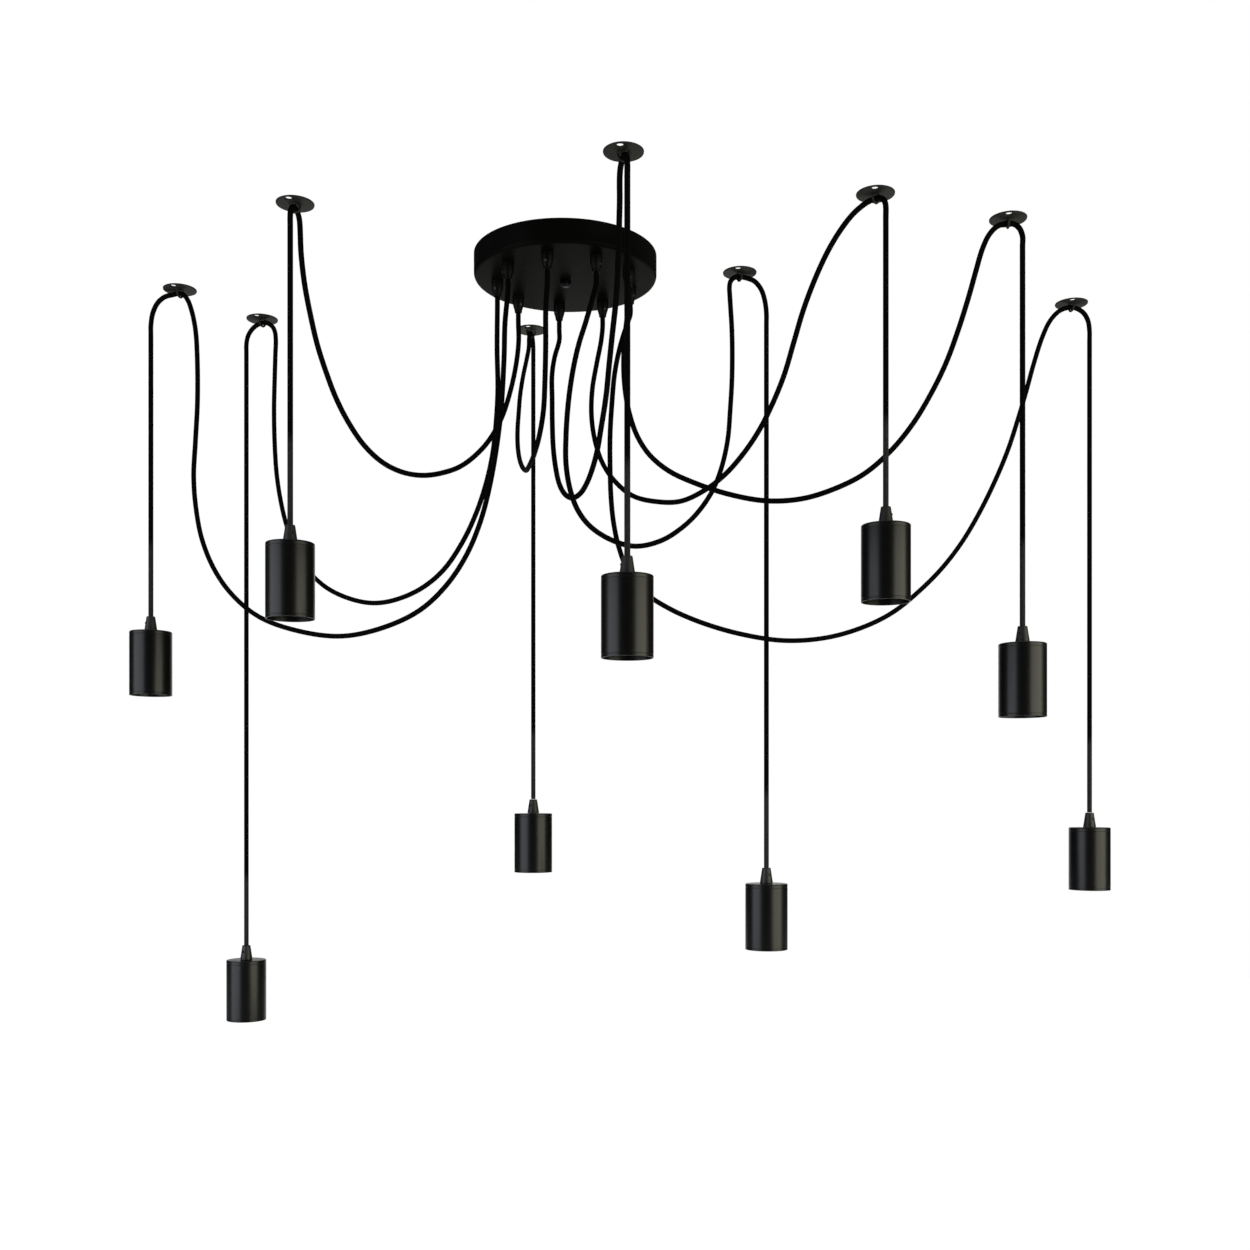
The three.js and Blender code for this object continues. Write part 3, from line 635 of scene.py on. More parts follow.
canopy_coat = powder_coat("canopy_powder_coat", 9, 0.008, 0.38)
disc_coat = powder_coat("disc_powder_coat", 25, 0.16, 0.55)
print("coats:", canopy_coat.name, disc_coat.name)

# %% [markdown]
# The cups are spun and sprayed satin black. A satin lacquer is smoother than powder, so each
# cup shows the two tall studio lamps as soft upright bands with near black between them. A
# faint grain left by the spinning runs round the cup under the lacquer.

# %% Satin lacquer
def satin_lacquer(name):
    lacquer = Finish(name, Specular_IOR_Level=0.25)
    grain = lacquer.noise(90, detail=4, stretch=(1, 1, 24))
    speck = lacquer.noise(900, detail=2)
    lacquer.set("Base Color", lacquer.blend(grain.rise(0.35, 0.65), grey(3), grey(6)))
    lacquer.set("Roughness", 0.265 + grain * 0.06 + speck * 0.03)
    lacquer.bump(grain * 0.7 + speck * 0.3, 0.03 * mm, 0.25)
    return lacquer.material


cup_lacquer = satin_lacquer("cup_satin_lacquer")
print("lacquer nodes:", len(cup_lacquer.node_tree.nodes))

# %% [markdown]
# Grips and lampholders are moulded in black thermoplastic. The mould is spark finished, which
# leaves a very fine even texture and a sheen between matt and gloss.

# %% Moulded plastic
def moulded(name, level, rough, tint=(1, 1, 1), sheen=0.4):
    plastic = Finish(name, Specular_IOR_Level=sheen)
    grain = plastic.noise(2600, detail=2)
    flow = plastic.noise(60, detail=2, stretch=(1, 1, 0.3))
    shades = grey(max(level - 2, 0), tint), grey(level + 3, tint)
    plastic.set("Base Color", plastic.blend(flow.rise(0.3, 0.7), *shades))
    plastic.set("Roughness", rough + flow * 0.08)
    plastic.bump(grain, 0.05 * mm, 0.3)
    return plastic.material


# The canopy's grips are painted darker than the lampholders' grips: painted shade, since they hang under
# the canopy and are lit less.
outlet_plastic_painted_shade = moulded("outlet_grip_plastic_painted_shade", 5, 0.45, sheen=0.06)
grip_plastic = moulded("lamp_grip_plastic", 26, 0.4, sheen=0.3)
holder_plastic = moulded("holder_moulded_plastic", 14, 0.45)
terminal_plastic = moulded("terminal_moulded_plastic", 226, 0.5, (1, 0.97, 0.9))
print("plastics:", [m.name for m in (outlet_plastic_painted_shade, grip_plastic, holder_plastic, terminal_plastic)])

# %% [markdown]
# The cords wear a braided sleeve. Two sets of black yarns wind round the cord in opposite
# directions and pass over and under each other. In the tube's flat map the two sets are
# diagonal stripes, and a chequer of the stripes says which set lies on top. The height of the
# top yarn drives a Bump node, and the yarns' crowns are painted a shade lighter than the gaps:
# a painted highlight on the crowns and painted shade in the gaps. The last stretch above each
# lampholder gets painted light, its crowns painted paler, so the crowns' colour changes along
# the map, which is counted in circumferences from the lampholder.

# %% Braided sleeve
LIT_UP_TO, UNLIT_FROM = 4.3, 5.3
STRIPES_BEHIND = 4000  # more than any cord has, so that no stripe has a number below zero
FIBRES = 4


def braided_sleeve(name, dark, painted_lit_level, yarns=8):
    braid = Finish(name, Specular_IOR_Level=0.03)
    flat = braid.node("ShaderNodeUVMap", {"uv_map": "braid_map"}, {})
    around = braid.part(flat, "X")
    along = braid.part(flat, "Y")
    right = (around + along) * yarns
    left = (around - along) * yarns + STRIPES_BEHIND
    over = (right.floor() + left.floor()) % 2
    right_crown = ((right % 1) * math.pi).sine()
    left_crown = ((left % 1) * math.pi).sine()
    top = over * right_crown + (1 - over) * left_crown
    dip = over * left_crown + (1 - over) * right_crown
    height = top * (0.55 + dip * 0.45)
    strands = ((right % 1) * over + (left % 1) * (1 - over)) * (2 * math.pi * FIBRES)
    fibre = strands.sine() * 0.5 + 0.5
    fluff = braid.noise(1500, detail=3)
    # Painted highlight on the yarns' crowns and painted shade in the gaps, varied by a fluff noise.
    painted_highlight_and_fluff = height.rise(0.15, 0.95) * (0.75 + fluff * 0.5)
    # Painted light: the crowns turn paler over the last stretch above the lampholder.
    painted_light_near_holder = 1 - along.rise(LIT_UP_TO, UNLIT_FROM)
    crown = braid.blend(painted_light_near_holder, grey(dark), grey(painted_lit_level))
    braid.set("Base Color", braid.blend(painted_highlight_and_fluff, grey(1), crown))
    braid.set("Roughness", 0.92 - height * 0.22)
    braid.bump(height + fibre * 0.12 + fluff * 0.15, 0.35 * mm, 0.8)
    return braid.material


swag_sleeve = braided_sleeve("swag_braided_sleeve", 6, 6)
# The drops get painted light near their lampholders; the swags' crowns keep one level.
drop_sleeve_painted_light = braided_sleeve("drop_braided_sleeve_painted_light", 6, 56)
for cords, sleeve in ((swags, swag_sleeve), (drops, drop_sleeve_painted_light)):
    for piece in cords.values():
        piece.data.materials.append(sleeve)
print("sleeve on", len(swags) + len(drops), "cords")

# %% [markdown]
# The metal parts that nobody is meant to see are zinc plated steel. Zinc is bright but not
# polished, with a cloudy bluish or yellowish cast. The sockets have a nickelled shell and
# brass contacts, and the nut and the grub screws are blackened.

# %% Bare metals
def plated(name, level, tint, rough):
    metal = Finish(name, Metallic=1.0)
    cloud = metal.noise(180, detail=3)
    scratch = metal.noise(260, detail=3, stretch=(1, 14, 1))
    shades = grey(level - 22, tint), grey(level + 8, tint)
    metal.set("Base Color", metal.blend(cloud.rise(0.3, 0.7), *shades))
    metal.set("Roughness", rough + cloud * 0.12 + scratch * 0.08)
    metal.bump(scratch, 0.03 * mm, 0.25)
    return metal.material


zinc = plated("zinc_plate", 186, (0.97, 0.99, 1.0), 0.3)
brass = plated("contact_brass", 190, (1.0, 0.8, 0.42), 0.28)
nickel = plated("nickel_shell", 176, (1.0, 0.98, 0.94), 0.25)
nut_steel = plated("nut_blackened_steel", 30, (0.85, 0.92, 1.1), 0.36)
screw_steel = plated("grub_screw_steel", 56, (1, 1, 1), 0.45)
print("metals:", [m.name for m in (zinc, brass, nickel, nut_steel, screw_steel)])

# %% [markdown]
# Holes that stand off a piece's axis can't be turned on the lathe. A Boolean modifier cuts
# them, as a press or a drill would. The result is taken as a plain mesh, and the blank and its
# drills are thrown away.

# %% Drilling
def drilled(mesh, cutters):
    """The mesh with the given solids cut out of it."""
    body = new_object("blank", mesh)
    tools = [new_object("drill", cutter) for cutter in cutters]
    for tool in tools:
        cut = body.modifiers.new("cut", "BOOLEAN")
        cut.operation = "DIFFERENCE"
        cut.solver = "EXACT"
        cut.object = tool
    bpy.context.view_layer.update()
    graph = bpy.context.evaluated_depsgraph_get()
    result = bpy.data.meshes.new_from_object(body.evaluated_get(graph))
    for spent in [body, *tools]:
        bpy.data.objects.remove(spent)
    return smooth(result, 30)


print("drill ready")

# %% [markdown]
# The canopy is pressed from one sheet of steel: a shallow dish with a generous edge radius, a
# hole in the middle for the fixing and nine more for the outlets. We turn the dish as a closed
# section, inside and outside, and drill the nine outlets where the frame has their grips.

# %% Canopy
CANOPY_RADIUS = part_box("canopy")[1].x
CANOPY_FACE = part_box("canopy")[0].z
WALL, EDGE = 1 * mm, 4.5 * mm
STUD_HOLE, OUTLET_HOLE = 3.3 * mm, 5.3 * mm

outer = [(CANOPY_RADIUS, 0), (CANOPY_RADIUS, CANOPY_FACE, EDGE), (STUD_HOLE, CANOPY_FACE)]
inner = [(STUD_HOLE, CANOPY_FACE + WALL),
         (CANOPY_RADIUS - WALL, CANOPY_FACE + WALL, EDGE - WALL), (CANOPY_RADIUS - WALL, 0)]
dish = lathe_mesh("canopy", rounded(outer, 8) + rounded(inner, 8), 144, closed=True)
above, beneath = CANOPY_FACE + 7 * mm, CANOPY_FACE - 5 * mm
rod = [(0, above), (OUTLET_HOLE, above), (OUTLET_HOLE, beneath), (0, beneath)]
drills = []
for k in LETTERS:
    out = node_foot(f"outlet_grip_{k}")
    drills.append(lathe_mesh("drill", rod, 32, (out.x, out.y, 0)))
canopy = new_object("canopy_dish", drilled(dish, drills))
canopy.data.materials.append(canopy_coat)
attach(canopy, FIXED)
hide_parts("canopy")
print("canopy faces:", len(canopy.data.polygons))

# %% [markdown]
# A cord grip is a small moulding that the cord leaves through. Its wide end sits on the metal,
# its sides draw in, and a grub screw through one side pinches the cord. The canopy's grips are
# round-shouldered bells and the lampholders' are straight cones, so one helper takes the
# outside as a profile, in millimetres. It makes a grip with its wide end at zero and its
# narrow end above, and the canopy's are turned over.

# %% Cord grip
GRIP_TALL, CORD_HOLE = 17.5, 2.95
BELL = ((4.1, GRIP_TALL, 0.5), (4.35, 14.6, 1), (5.1, 12.4, 3), (6.1, 9, 6), (6.6, 5, 5), (6.7, 0, 0.4))
CONE = ((4.8, GRIP_TALL, 0.5), (5.3, 14.4, 4), (7.3, 1.2, 1.2), (7.4, 0, 0.3))
SOCKET, SOCKET_DEEP = 4.9, 6.5  # the wide hole that the nipple screws into
SQUARE = ((-1, -1), (1, -1), (1, 1), (-1, 1))
SCREW_PLACE, SCREW_TILT = Vector((5.5 * mm, 0, 9.6 * mm)), math.radians(72)


def grub_screw():
    """A screw that points up its own axis, with a slot sawn across its head."""
    body = outline([(0, 1.1), (1.25, 1.1, 0.25), (1.4, 0.7), (1.4, -1.2), (0, -1.2)])
    reach, half_width, floor, over = 1.54 * mm, 0.18 * mm, 0.72 * mm, 1.4 * mm
    saw = bpy.data.meshes.new("saw")
    corners = [(x * reach, y * half_width, z) for z in (floor, over) for x, y in SQUARE]
    sides = [(j, (j + 1) % 4, (j + 1) % 4 + 4, j + 4) for j in range(4)]
    saw.from_pydata(corners, [], [(3, 2, 1, 0), (4, 5, 6, 7), *sides])
    return drilled(lathe_mesh("grub", body, 24), [saw])


def grip_meshes(outside, screw_angle):
    """The moulding with the given outside, then its grub screw."""
    profile = outline([(CORD_HOLE, SOCKET_DEEP), (CORD_HOLE, GRIP_TALL, 0.3), *outside,
                       (SOCKET, 0, 0.2), (SOCKET, SOCKET_DEEP)])
    out = Matrix.Rotation(screw_angle, 4, "Z") @ Matrix.Translation(SCREW_PLACE)
    lie = Matrix.Rotation(SCREW_TILT, 4, "Y")
    return [lathe_mesh("bell", profile, 48, closed=True), moved(grub_screw(), out @ lie)]


print("grip outsides:", len(BELL), "and", len(CONE), "corners")

# %% [markdown]
# A lock nut inside the canopy clamps its sheet between nut and grip. A pressed nut has six
# flats, and its corners are chamfered above and below. We carry a hexagon through six
# sections: out, along the flats, in to the bore and back down it.

# %% Nuts
HEX = [(math.cos(math.radians(60 * i)), math.sin(math.radians(60 * i))) for i in range(6)]
CORNER_SHARE = 0.93  # a nut's chamfers draw its corners in to this share of their reach


def hex_mesh(across, low, high, bore, chamfer=0.5 * mm):
    """A six-sided nut with chamfered corners and a bore."""
    reach = across / math.sqrt(3)
    sections = [(reach * CORNER_SHARE, low), (reach, low + chamfer), (reach, high - chamfer),
                (reach * CORNER_SHARE, high), (bore, high), (bore, low)]
    shape = bmesh.new()
    rings = [[shape.verts.new((radius * x, radius * y, height)) for x, y in HEX]
             for radius, height in sections]
    for upper, lower in zip(rings, rings[1:] + rings[:1]):
        for j in range(6):
            k = (j + 1) % 6
            shape.faces.new((upper[j], upper[k], lower[k], lower[j]))
    bmesh.ops.recalc_face_normals(shape, faces=shape.faces)
    mesh = bpy.data.meshes.new("hex")
    shape.to_mesh(mesh)
    shape.free()
    return smooth(mesh, 25)


print("nut helper ready")

# %% [markdown]
# A nipple is a short threaded tube that the nut runs on. The thread is a tube whose radius
# follows a helix: for each small step round, the wave is a little higher up. The same helper
# makes solid rods, and threads that face inwards.

# %% Threads
ROWS_PER_TURN = 8


def threaded_mesh(radius, pitch, low, high, depth, segments=28, inside=False, bore=0):
    """A screw thread, as a sleeve whose radius follows a helix. With a bore it is a tube, and
    for a thread that faces inwards the bore is the tube's outside."""
    rows = math.ceil((high - low) / pitch * ROWS_PER_TURN)
    rings = [(low + (high - low) * i / rows, 0) for i in range(rows + 1)]
    rings += [(high, bore), (low, bore)] if bore else []
    verts, faces = [], []
    for height, plain in rings:
        for j in range(segments):
            turn = j / segments
            wave = 0.5 + 0.5 * math.cos(2 * math.pi * (height / pitch - turn))
            r = plain or radius + (depth if inside else -depth) * wave
            angle = 2 * math.pi * turn
            verts.append((r * math.cos(angle), r * math.sin(angle), height))
    for i in range(len(rings) if bore else rows):
        lower, upper = i * segments, (i + 1) % len(rings) * segments
        for j in range(segments):
            k = (j + 1) % segments
            face = (lower + j, lower + k, upper + k, upper + j)
            faces.append(face[::-1] if inside else face)
    if not bore:
        faces.append(tuple(reversed(range(segments))))
        faces.append(tuple(rows * segments + j for j in range(segments)))
    mesh = bpy.data.meshes.new("thread")
    mesh.from_pydata(verts, [], faces)
    return smooth(mesh, 60)


print("thread helper ready")

# %% [markdown]
# Each outlet gets a nipple with its lock nut, and a grip that is turned over and pushed up to
# the sheet. A grip stops wherever it is tight, so we let every grub screw face a side of its
# own. The four meshes become one object, because they never part.

# %% Outlet grips in the canopy
FACE_IN = CANOPY_FACE + WALL
OUT_SEAT = CANOPY_FACE - GAP
NIPPLE, PITCH = 5 * mm, 1 * mm
nipple = threaded_mesh(NIPPLE, PITCH, OUT_SEAT - 6 * mm, FACE_IN + GAP + 4 * mm, 0.35 * mm,
                       bore=3.5 * mm)
lock_nut = hex_mesh(13.6 * mm, FACE_IN + GAP, FACE_IN + GAP + 3 * mm, 4.7 * mm)
# The side that each grip's screw faces, in degrees
OUTLET_SCREWS = {"a": 200, "b": 250, "c": 300, "d": 255, "e": 230, "f": 320, "g": 300, "h": 280, "i": 310}
for k in LETTERS:
    out = node_foot(f"outlet_grip_{k}")
    spot = Matrix.Translation((out.x, out.y, 0))
    hang = spot @ Matrix.Translation((0, 0, OUT_SEAT)) @ Matrix.Rotation(math.pi, 4, "X")
    bell, screw = grip_meshes(BELL, math.radians(-OUTLET_SCREWS[k]))
    meshes = [moved(bell, hang), moved(screw, hang), moved(nipple, spot), moved(lock_nut, spot)]
    grip = joined(f"outlet_grip_body_{k}", meshes, [outlet_plastic_painted_shade, screw_steel, zinc, zinc])
    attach(grip, FIXED)
    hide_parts(f"outlet_grip_{k}")
print("outlet grips placed:", len(OUTLET_SCREWS))

# %% [markdown]
# In the middle of the canopy one dome nut holds the dish up on a stud from the ceiling
# bracket. It is small but the eye goes to it, so it gets its flats, its chamfers and its dome.

# %% Fixing nut
flats = hex_mesh(10.7 * mm, OUT_SEAT - 5 * mm, OUT_SEAT, 3.2 * mm)
cap = outline([(0, -4.8), (4.9, -4.8), (4.8, -5.9, 1.2), (3.4, -7.3, 1.8), (0, -7.5)], 6)
dome = lathe_mesh("dome", cap, 40, (0, 0, OUT_SEAT))
nut = joined("fixing_dome_nut", [flats, dome], [nut_steel, nut_steel])
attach(nut, FIXED)
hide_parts("fixing_nut")
print("nut faces:", len(nut.data.polygons))

# %% [markdown]
# Each ceiling hook is a stamped disc with a wire hook riveted to it, and the cord crosses just
# above the wire's bend. We start with the wire, which is one more tube along a line: down from
# the rivet, round its bend and a little way up.

# %% Hook wire
HOOK_BEND, HOOK_WIRE = 5.2 * mm, 1.2 * mm
BEND_STEPS = 12


def hook_wire(crown):
    """A wire from the rivet down, under the cord's crown and a little way up again."""
    middle = crown - CORD / 2 - GAP - HOOK_WIRE + HOOK_BEND
    line = [Vector((0, HOOK_BEND, -0.9 * mm))]
    for i in range(BEND_STEPS + 1):
        angle = math.pi * i / BEND_STEPS
        line.append(Vector((0, HOOK_BEND * math.cos(angle), middle - HOOK_BEND * math.sin(angle))))
    line.append(Vector((0, -HOOK_BEND, middle + 1.6 * mm)))
    return tube_mesh("wire", line, HOOK_WIRE, 14)


print("hook wires are", round(2 * HOOK_WIRE / mm, 1), "mm thick")

# %% [markdown]
# The disc has one countersunk screw hole, and its edge is slightly rolled, so it meets the
# ceiling as a soft line. Every wire has the height of its own cord, and it is turned with its
# rivet head to stand across that cord. The screw hole faces the same way on all nine discs.

# %% Nine ceiling hooks
DISC, DISC_THICK = 19, 1.5  # in millimetres, as its outline is
SCREW_OFF, SCREW_SIDE = 13.6 * mm, math.radians(-103)
SCREW_HOLE = outline([(0, 1), (3, 1), (3, -0.3), (4.4, -1.7), (4.4, -3), (0, -3)])


def top_of_route(letter):
    """The route's highest point, between the ones before and after it."""
    points = [Vector(p) for p in ROUTES[letter]]
    i = max(range(len(points)), key=lambda n: points[n].z)
    return points[i - 1:i + 2]


def hook_meshes(crown, heading):
    disc = outline([(0, 0), (DISC, 0, 0.3), (DISC - 0.2, -DISC_THICK, 0.8), (0, -DISC_THICK)], 5)
    hole = (SCREW_OFF * math.cos(SCREW_SIDE), SCREW_OFF * math.sin(SCREW_SIDE), 0)
    plate = drilled(lathe_mesh("disc", disc, 96), [lathe_mesh("drill", SCREW_HOLE, 32, hole)])
    head, root = -DISC_THICK - 0.7, -DISC_THICK + 0.1
    rivet = outline([(0, head), (1.9, head, 0.4), (2.5, root), (0, root)])
    collar = lathe_mesh("rivet", rivet, 24, (0, HOOK_BEND, 0))
    lie = Matrix.Rotation(heading, 4, "Z")
    return [plate, moved(hook_wire(crown), lie), moved(collar, lie)]


for k in LETTERS:
    before, crown, after = top_of_route(k)
    heading = math.atan2(after.y - before.y, after.x - before.x)
    spot = Matrix.Translation((crown.x, crown.y, 0))
    meshes = [moved(m, spot) for m in hook_meshes(crown.z, heading)]
    hook = joined(f"ceiling_hook_{k}", meshes, [disc_coat, disc_coat, disc_coat])
    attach(hook, FIXED)
    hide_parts(f"hook_{k}")
print("hooks placed, each with", len(hook.data.polygons), "faces")

# %% [markdown]
# A cup is a spun tube with a closed top. The spinner leaves a small radius at the top, a
# shallow line where the lid was rolled in and another line just above the lower rim, where
# the edge is turned to stiffen it. The section is in millimetres, down from the cup's top.

# %% Cups
CUP, NIPPLE_HOLE, LINE_DEEP, SHEET = 24, 5.4, 0.22, 1
CUP_TALL = (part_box("cup_a")[1].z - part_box("cup_a")[0].z) / mm


def rolled_line(height):
    """The four corners of a shallow line round the cup, 0.7 mm tall from its upper edge."""
    return [(CUP, height, 0.1), (CUP - LINE_DEEP, height - 0.2, 0.1),
            (CUP - LINE_DEEP, height - 0.5, 0.1), (CUP, height - 0.7, 0.1)]


section = outline([
    (NIPPLE_HOLE, 0), (CUP, 0, 1.4), *rolled_line(-3.9), *rolled_line(3 - CUP_TALL),
    (CUP, -CUP_TALL, 0.3), (CUP - SHEET, -CUP_TALL, 0.3), (CUP - SHEET, -SHEET, 0.6),
    (NIPPLE_HOLE, -SHEET)], 5)
turned_cup = lathe_mesh("cup", section, 96, closed=True)
for k in LETTERS:
    spot = Matrix.Translation(node_head(f"cup_{k}"))
    cup = new_object(f"cup_shell_{k}", moved(turned_cup, spot))
    cup.data.materials.append(cup_lacquer)
    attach(cup, f"pendant_{k}")
    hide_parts(f"cup_{k}")
print("cups placed,", round(CUP_TALL, 1), "mm tall")

# %% [markdown]
# Inside each cup sits the lampholder, and deep in it two springy brass strips touch the lamp's
# cap. A strip is a flat band bent in one plane, so it is drawn as a few places along its side
# view, and a four-sided section is carried through them.

# %% Contact strips
MOUTH = -CUP_TALL + 6
BORE_TOP = MOUTH + 34


def tongue_mesh(width, places, thick=0.4 * mm):
    """A bent metal strip through places given as (x, depth below the bore's top), in mm."""
    mesh = bpy.data.meshes.new("tongue")
    half = width / 2
    verts, faces = [], []
    for x, z in [(x * mm, BORE_TOP * mm - depth * mm) for x, depth in places]:
        verts += [(x, -half, z), (x, half, z), (x, half, z + thick), (x, -half, z + thick)]
    for i in range(len(places) - 1):
        a, b = 4 * i, 4 * i + 4
        for j in range(4):
            k = (j + 1) % 4
            faces.append((a + j, a + k, b + k, b + j))
    last = 4 * (len(places) - 1)
    faces += [(3, 2, 1, 0), (last, last + 1, last + 2, last + 3)]
    mesh.from_pydata(verts, [], faces)
    return mesh


print("holder's bore top at", round(BORE_TOP, 1), "mm from the cup's top")

# %% [markdown]
# Seen from below, the lampholder is a moulded ring round a nickelled screw shell, with a
# ceramic floor, a brass tongue in the middle and a second contact at the side. The screw shell
# is a true helix, so a lamp could be turned into it. All nine holders are alike, so their
# meshes are made once, about the middle of the cup's top.

# %% Lampholder meshes
HOLDER, BORE, SHELL = 19.5, 14.9, 13.4  # radii of the body, its bore and the thread's crests
SEAT = -SHEET - GAP / mm
LAMP_PITCH = 3.63 * mm
ceramic = moulded("socket_floor_ceramic", 214, 0.35, (1, 0.99, 0.95))


def holder_meshes():
    waist = HOLDER - 0.4
    body = outline([
        (0, SEAT), (13, SEAT, 1), (HOLDER, SEAT - 5, 1.5), (HOLDER, MOUTH + 9, 0.2),
        (waist, MOUTH + 8.6, 0.2), (waist, MOUTH + 7.8, 0.2), (HOLDER, MOUTH + 7.4, 0.2),
        (HOLDER, MOUTH, 0.8), (BORE, MOUTH, 0.6), (BORE, BORE_TOP), (0, BORE_TOP)])
    shell = threaded_mesh(SHELL * mm, LAMP_PITCH, (MOUTH + 5) * mm, (BORE_TOP - 7) * mm, 0.75 * mm,
                          48, inside=True, bore=(SHELL + 1) * mm)
    lip = outline([(BORE - 0.1, MOUTH + 5), (SHELL + 0.5, MOUTH + 4.6), (SHELL, MOUTH + 5)])
    floor = outline([
        (0, BORE_TOP - 0.5), (BORE - 0.1, BORE_TOP - 0.5), (BORE - 0.1, BORE_TOP - 7),
        (11, BORE_TOP - 6, 0.5), (10, BORE_TOP - 1, 0.5), (0, BORE_TOP - 1)])
    centre = tongue_mesh(5 * mm, [(-7, 1.6), (-4, 2), (-1.5, 4.6), (0, 5.2), (1.5, 4.8), (2.4, 3.6)])
    side = tongue_mesh(4 * mm, [(8.6, 1.6), (9.6, 3), (10.2, 6), (11.4, 8), (11.9, 7.4)])
    stub = threaded_mesh(NIPPLE, PITCH, SEAT * mm - 0.5 * mm, GAP + 0.2 * mm, 0.3 * mm)
    return [lathe_mesh("holder", body, 72), shell, lathe_mesh("lip", lip, 48, closed=True),
            lathe_mesh("floor", floor, 40), centre, side, stub]


holder_parts = holder_meshes()
holder_finishes = [holder_plastic, nickel, nickel, ceramic, brass, brass, zinc]
print("meshes in a holder:", len(holder_parts))

# %% [markdown]
# Each holder is set in its cup, and its cord grip stands on the cup's lid with its narrow end
# up. Holder and grip become one object, which swings with the cup.

# %% Nine lampholders
# The side that each grip's screw faces, in degrees
LAMP_SCREWS = {"a": 215, "b": 250, "c": 310, "d": 240, "e": 200, "f": 300, "g": 330, "h": 230, "i": 290}
for k in LETTERS:
    spot = Matrix.Translation(node_head(f"cup_{k}"))
    stand = spot @ Matrix.Translation((0, 0, GAP))
    bell, screw = grip_meshes(CONE, math.radians(LAMP_SCREWS[k]))
    meshes = [moved(m, spot) for m in holder_parts] + [moved(bell, stand), moved(screw, stand)]
    holder = joined(f"lampholder_body_{k}", meshes, holder_finishes + [grip_plastic, screw_steel])
    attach(holder, f"pendant_{k}")
    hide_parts(f"lampholder_{k}")
print("lampholders placed:", len(LAMP_SCREWS))

# %% [markdown]
# A flat plate with slots is easiest as a 2D curve, which Blender fills, thickens and bevels in
# one step. All the outlines here are long with round ends, so one helper draws them from a
# length, a width and a place along the plate, in millimetres.

# %% Flat plates
END_STEPS = 16


def strap_spline(curve, length, width, x):
    """A long outline with round ends, added to a flat curve."""
    spline = curve.splines.new("POLY")
    radius, straight = width / 2, length / 2 - width / 2
    points = []
    for side, start in ((1, -90), (-1, 90)):
        for i in range(END_STEPS + 1):
            angle = math.radians(start + 180 * i / END_STEPS)
            points.append((x + side * straight + radius * math.cos(angle), radius * math.sin(angle)))
    spline.points.add(len(points) - 1)
    for point, (px, py) in zip(spline.points, points):
        point.co = (px, py, 0, 1)
    spline.use_cyclic_u = True


def plate_mesh(outlines, thick, bevel, top):
    """A flat plate whose first outline is its edge and whose others are slots through it."""
    curve = bpy.data.curves.new("outline", "CURVE")
    curve.dimensions = "2D"
    curve.fill_mode = "BOTH"
    curve.extrude = thick / 2 - bevel
    curve.bevel_depth = bevel
    curve.offset = -bevel
    for length, width, x in outlines:
        strap_spline(curve, length * mm, width * mm, x * mm)
    blank = new_object("blank", curve)
    graph = bpy.context.evaluated_depsgraph_get()
    mesh = bpy.data.meshes.new_from_object(blank.evaluated_get(graph))
    bpy.data.objects.remove(blank)
    mesh.transform(Matrix.Translation((0, 0, top - thick / 2)))
    return smooth(mesh, 30)


print("plate helper ready")

# %% [markdown]
# Behind the canopy a slotted strap is screwed to the ceiling, with a boss in its middle for
# the stud. All of it is hidden in the picture, but the open back of the canopy shows it from
# above.

# %% Ceiling bracket
STRAP, SLOT, SLOT_PLACE = (130, 22), (24, 5), 41  # in millimetres, as plate_mesh takes them
strap = plate_mesh([(*STRAP, 0), (*SLOT, -SLOT_PLACE), (*SLOT, SLOT_PLACE)], 2 * mm, 0.3 * mm, 0)
boss = lathe_mesh("boss", outline([
    (0, -1.4), (3.3, -1.4), (3.3, -8, 0.3), (8, -8, 0.6), (8, -2.6, 0.6), (9, -1.9), (9, -1),
    (0, -1)]), 48)
bracket = joined("bracket_strap", [strap, boss], [zinc, zinc])
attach(bracket, FIXED)
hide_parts("ceiling_bracket")
print("bracket faces:", len(bracket.data.polygons))

# %% [markdown]
# The stud is plain threaded rod. It runs from the boss down to the dome nut, and holds the
# canopy up against the ceiling.

# %% Centre stud
STUD, STUD_PITCH = 3 * mm, 1 * mm
rod = threaded_mesh(STUD, STUD_PITCH, node_foot("centre_stud").z, -1.5 * mm, 0.45 * mm, 24)
stud = joined("centre_stud_rod", [rod], [zinc])
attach(stud, FIXED)
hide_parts("centre_stud")
print("stud faces:", len(stud.data.polygons))

# %% [markdown]
# Beside the stud a terminal block hangs under the strap: a moulded base with two towers for
# each of its three ways, and a brass screw down each tower.

# %% Terminal block
BLOCK_PLACE, BLOCK_TOP, WAY_STEP, TOWER_OFF = 37 * mm, -2.3 * mm, 9 * mm, 4.1 * mm
tower = outline([(0, -4.4), (3.8, -4.4), (3.8, -13, 0.6), (2.3, -13, 0.3), (2.2, -10.5), (0, -10.5)])
clamp = outline([(0, -11.6), (1.9, -11.6, 0.3), (1.9, -10), (0, -10)])
base = plate_mesh([(27, 16, 0)], 5 * mm, 0.5 * mm, BLOCK_TOP)
meshes = [moved(base, Matrix.Translation((BLOCK_PLACE, 0, 0)))]
for way in (-1, 0, 1):
    for y in (-TOWER_OFF, TOWER_OFF):
        spot = (BLOCK_PLACE + way * WAY_STEP, y, BLOCK_TOP)
        meshes += [lathe_mesh("tower", tower, 32, spot), lathe_mesh("clamp", clamp, 24, spot)]
block = joined("terminal_strip", meshes, [terminal_plastic] + [terminal_plastic, brass] * 6)
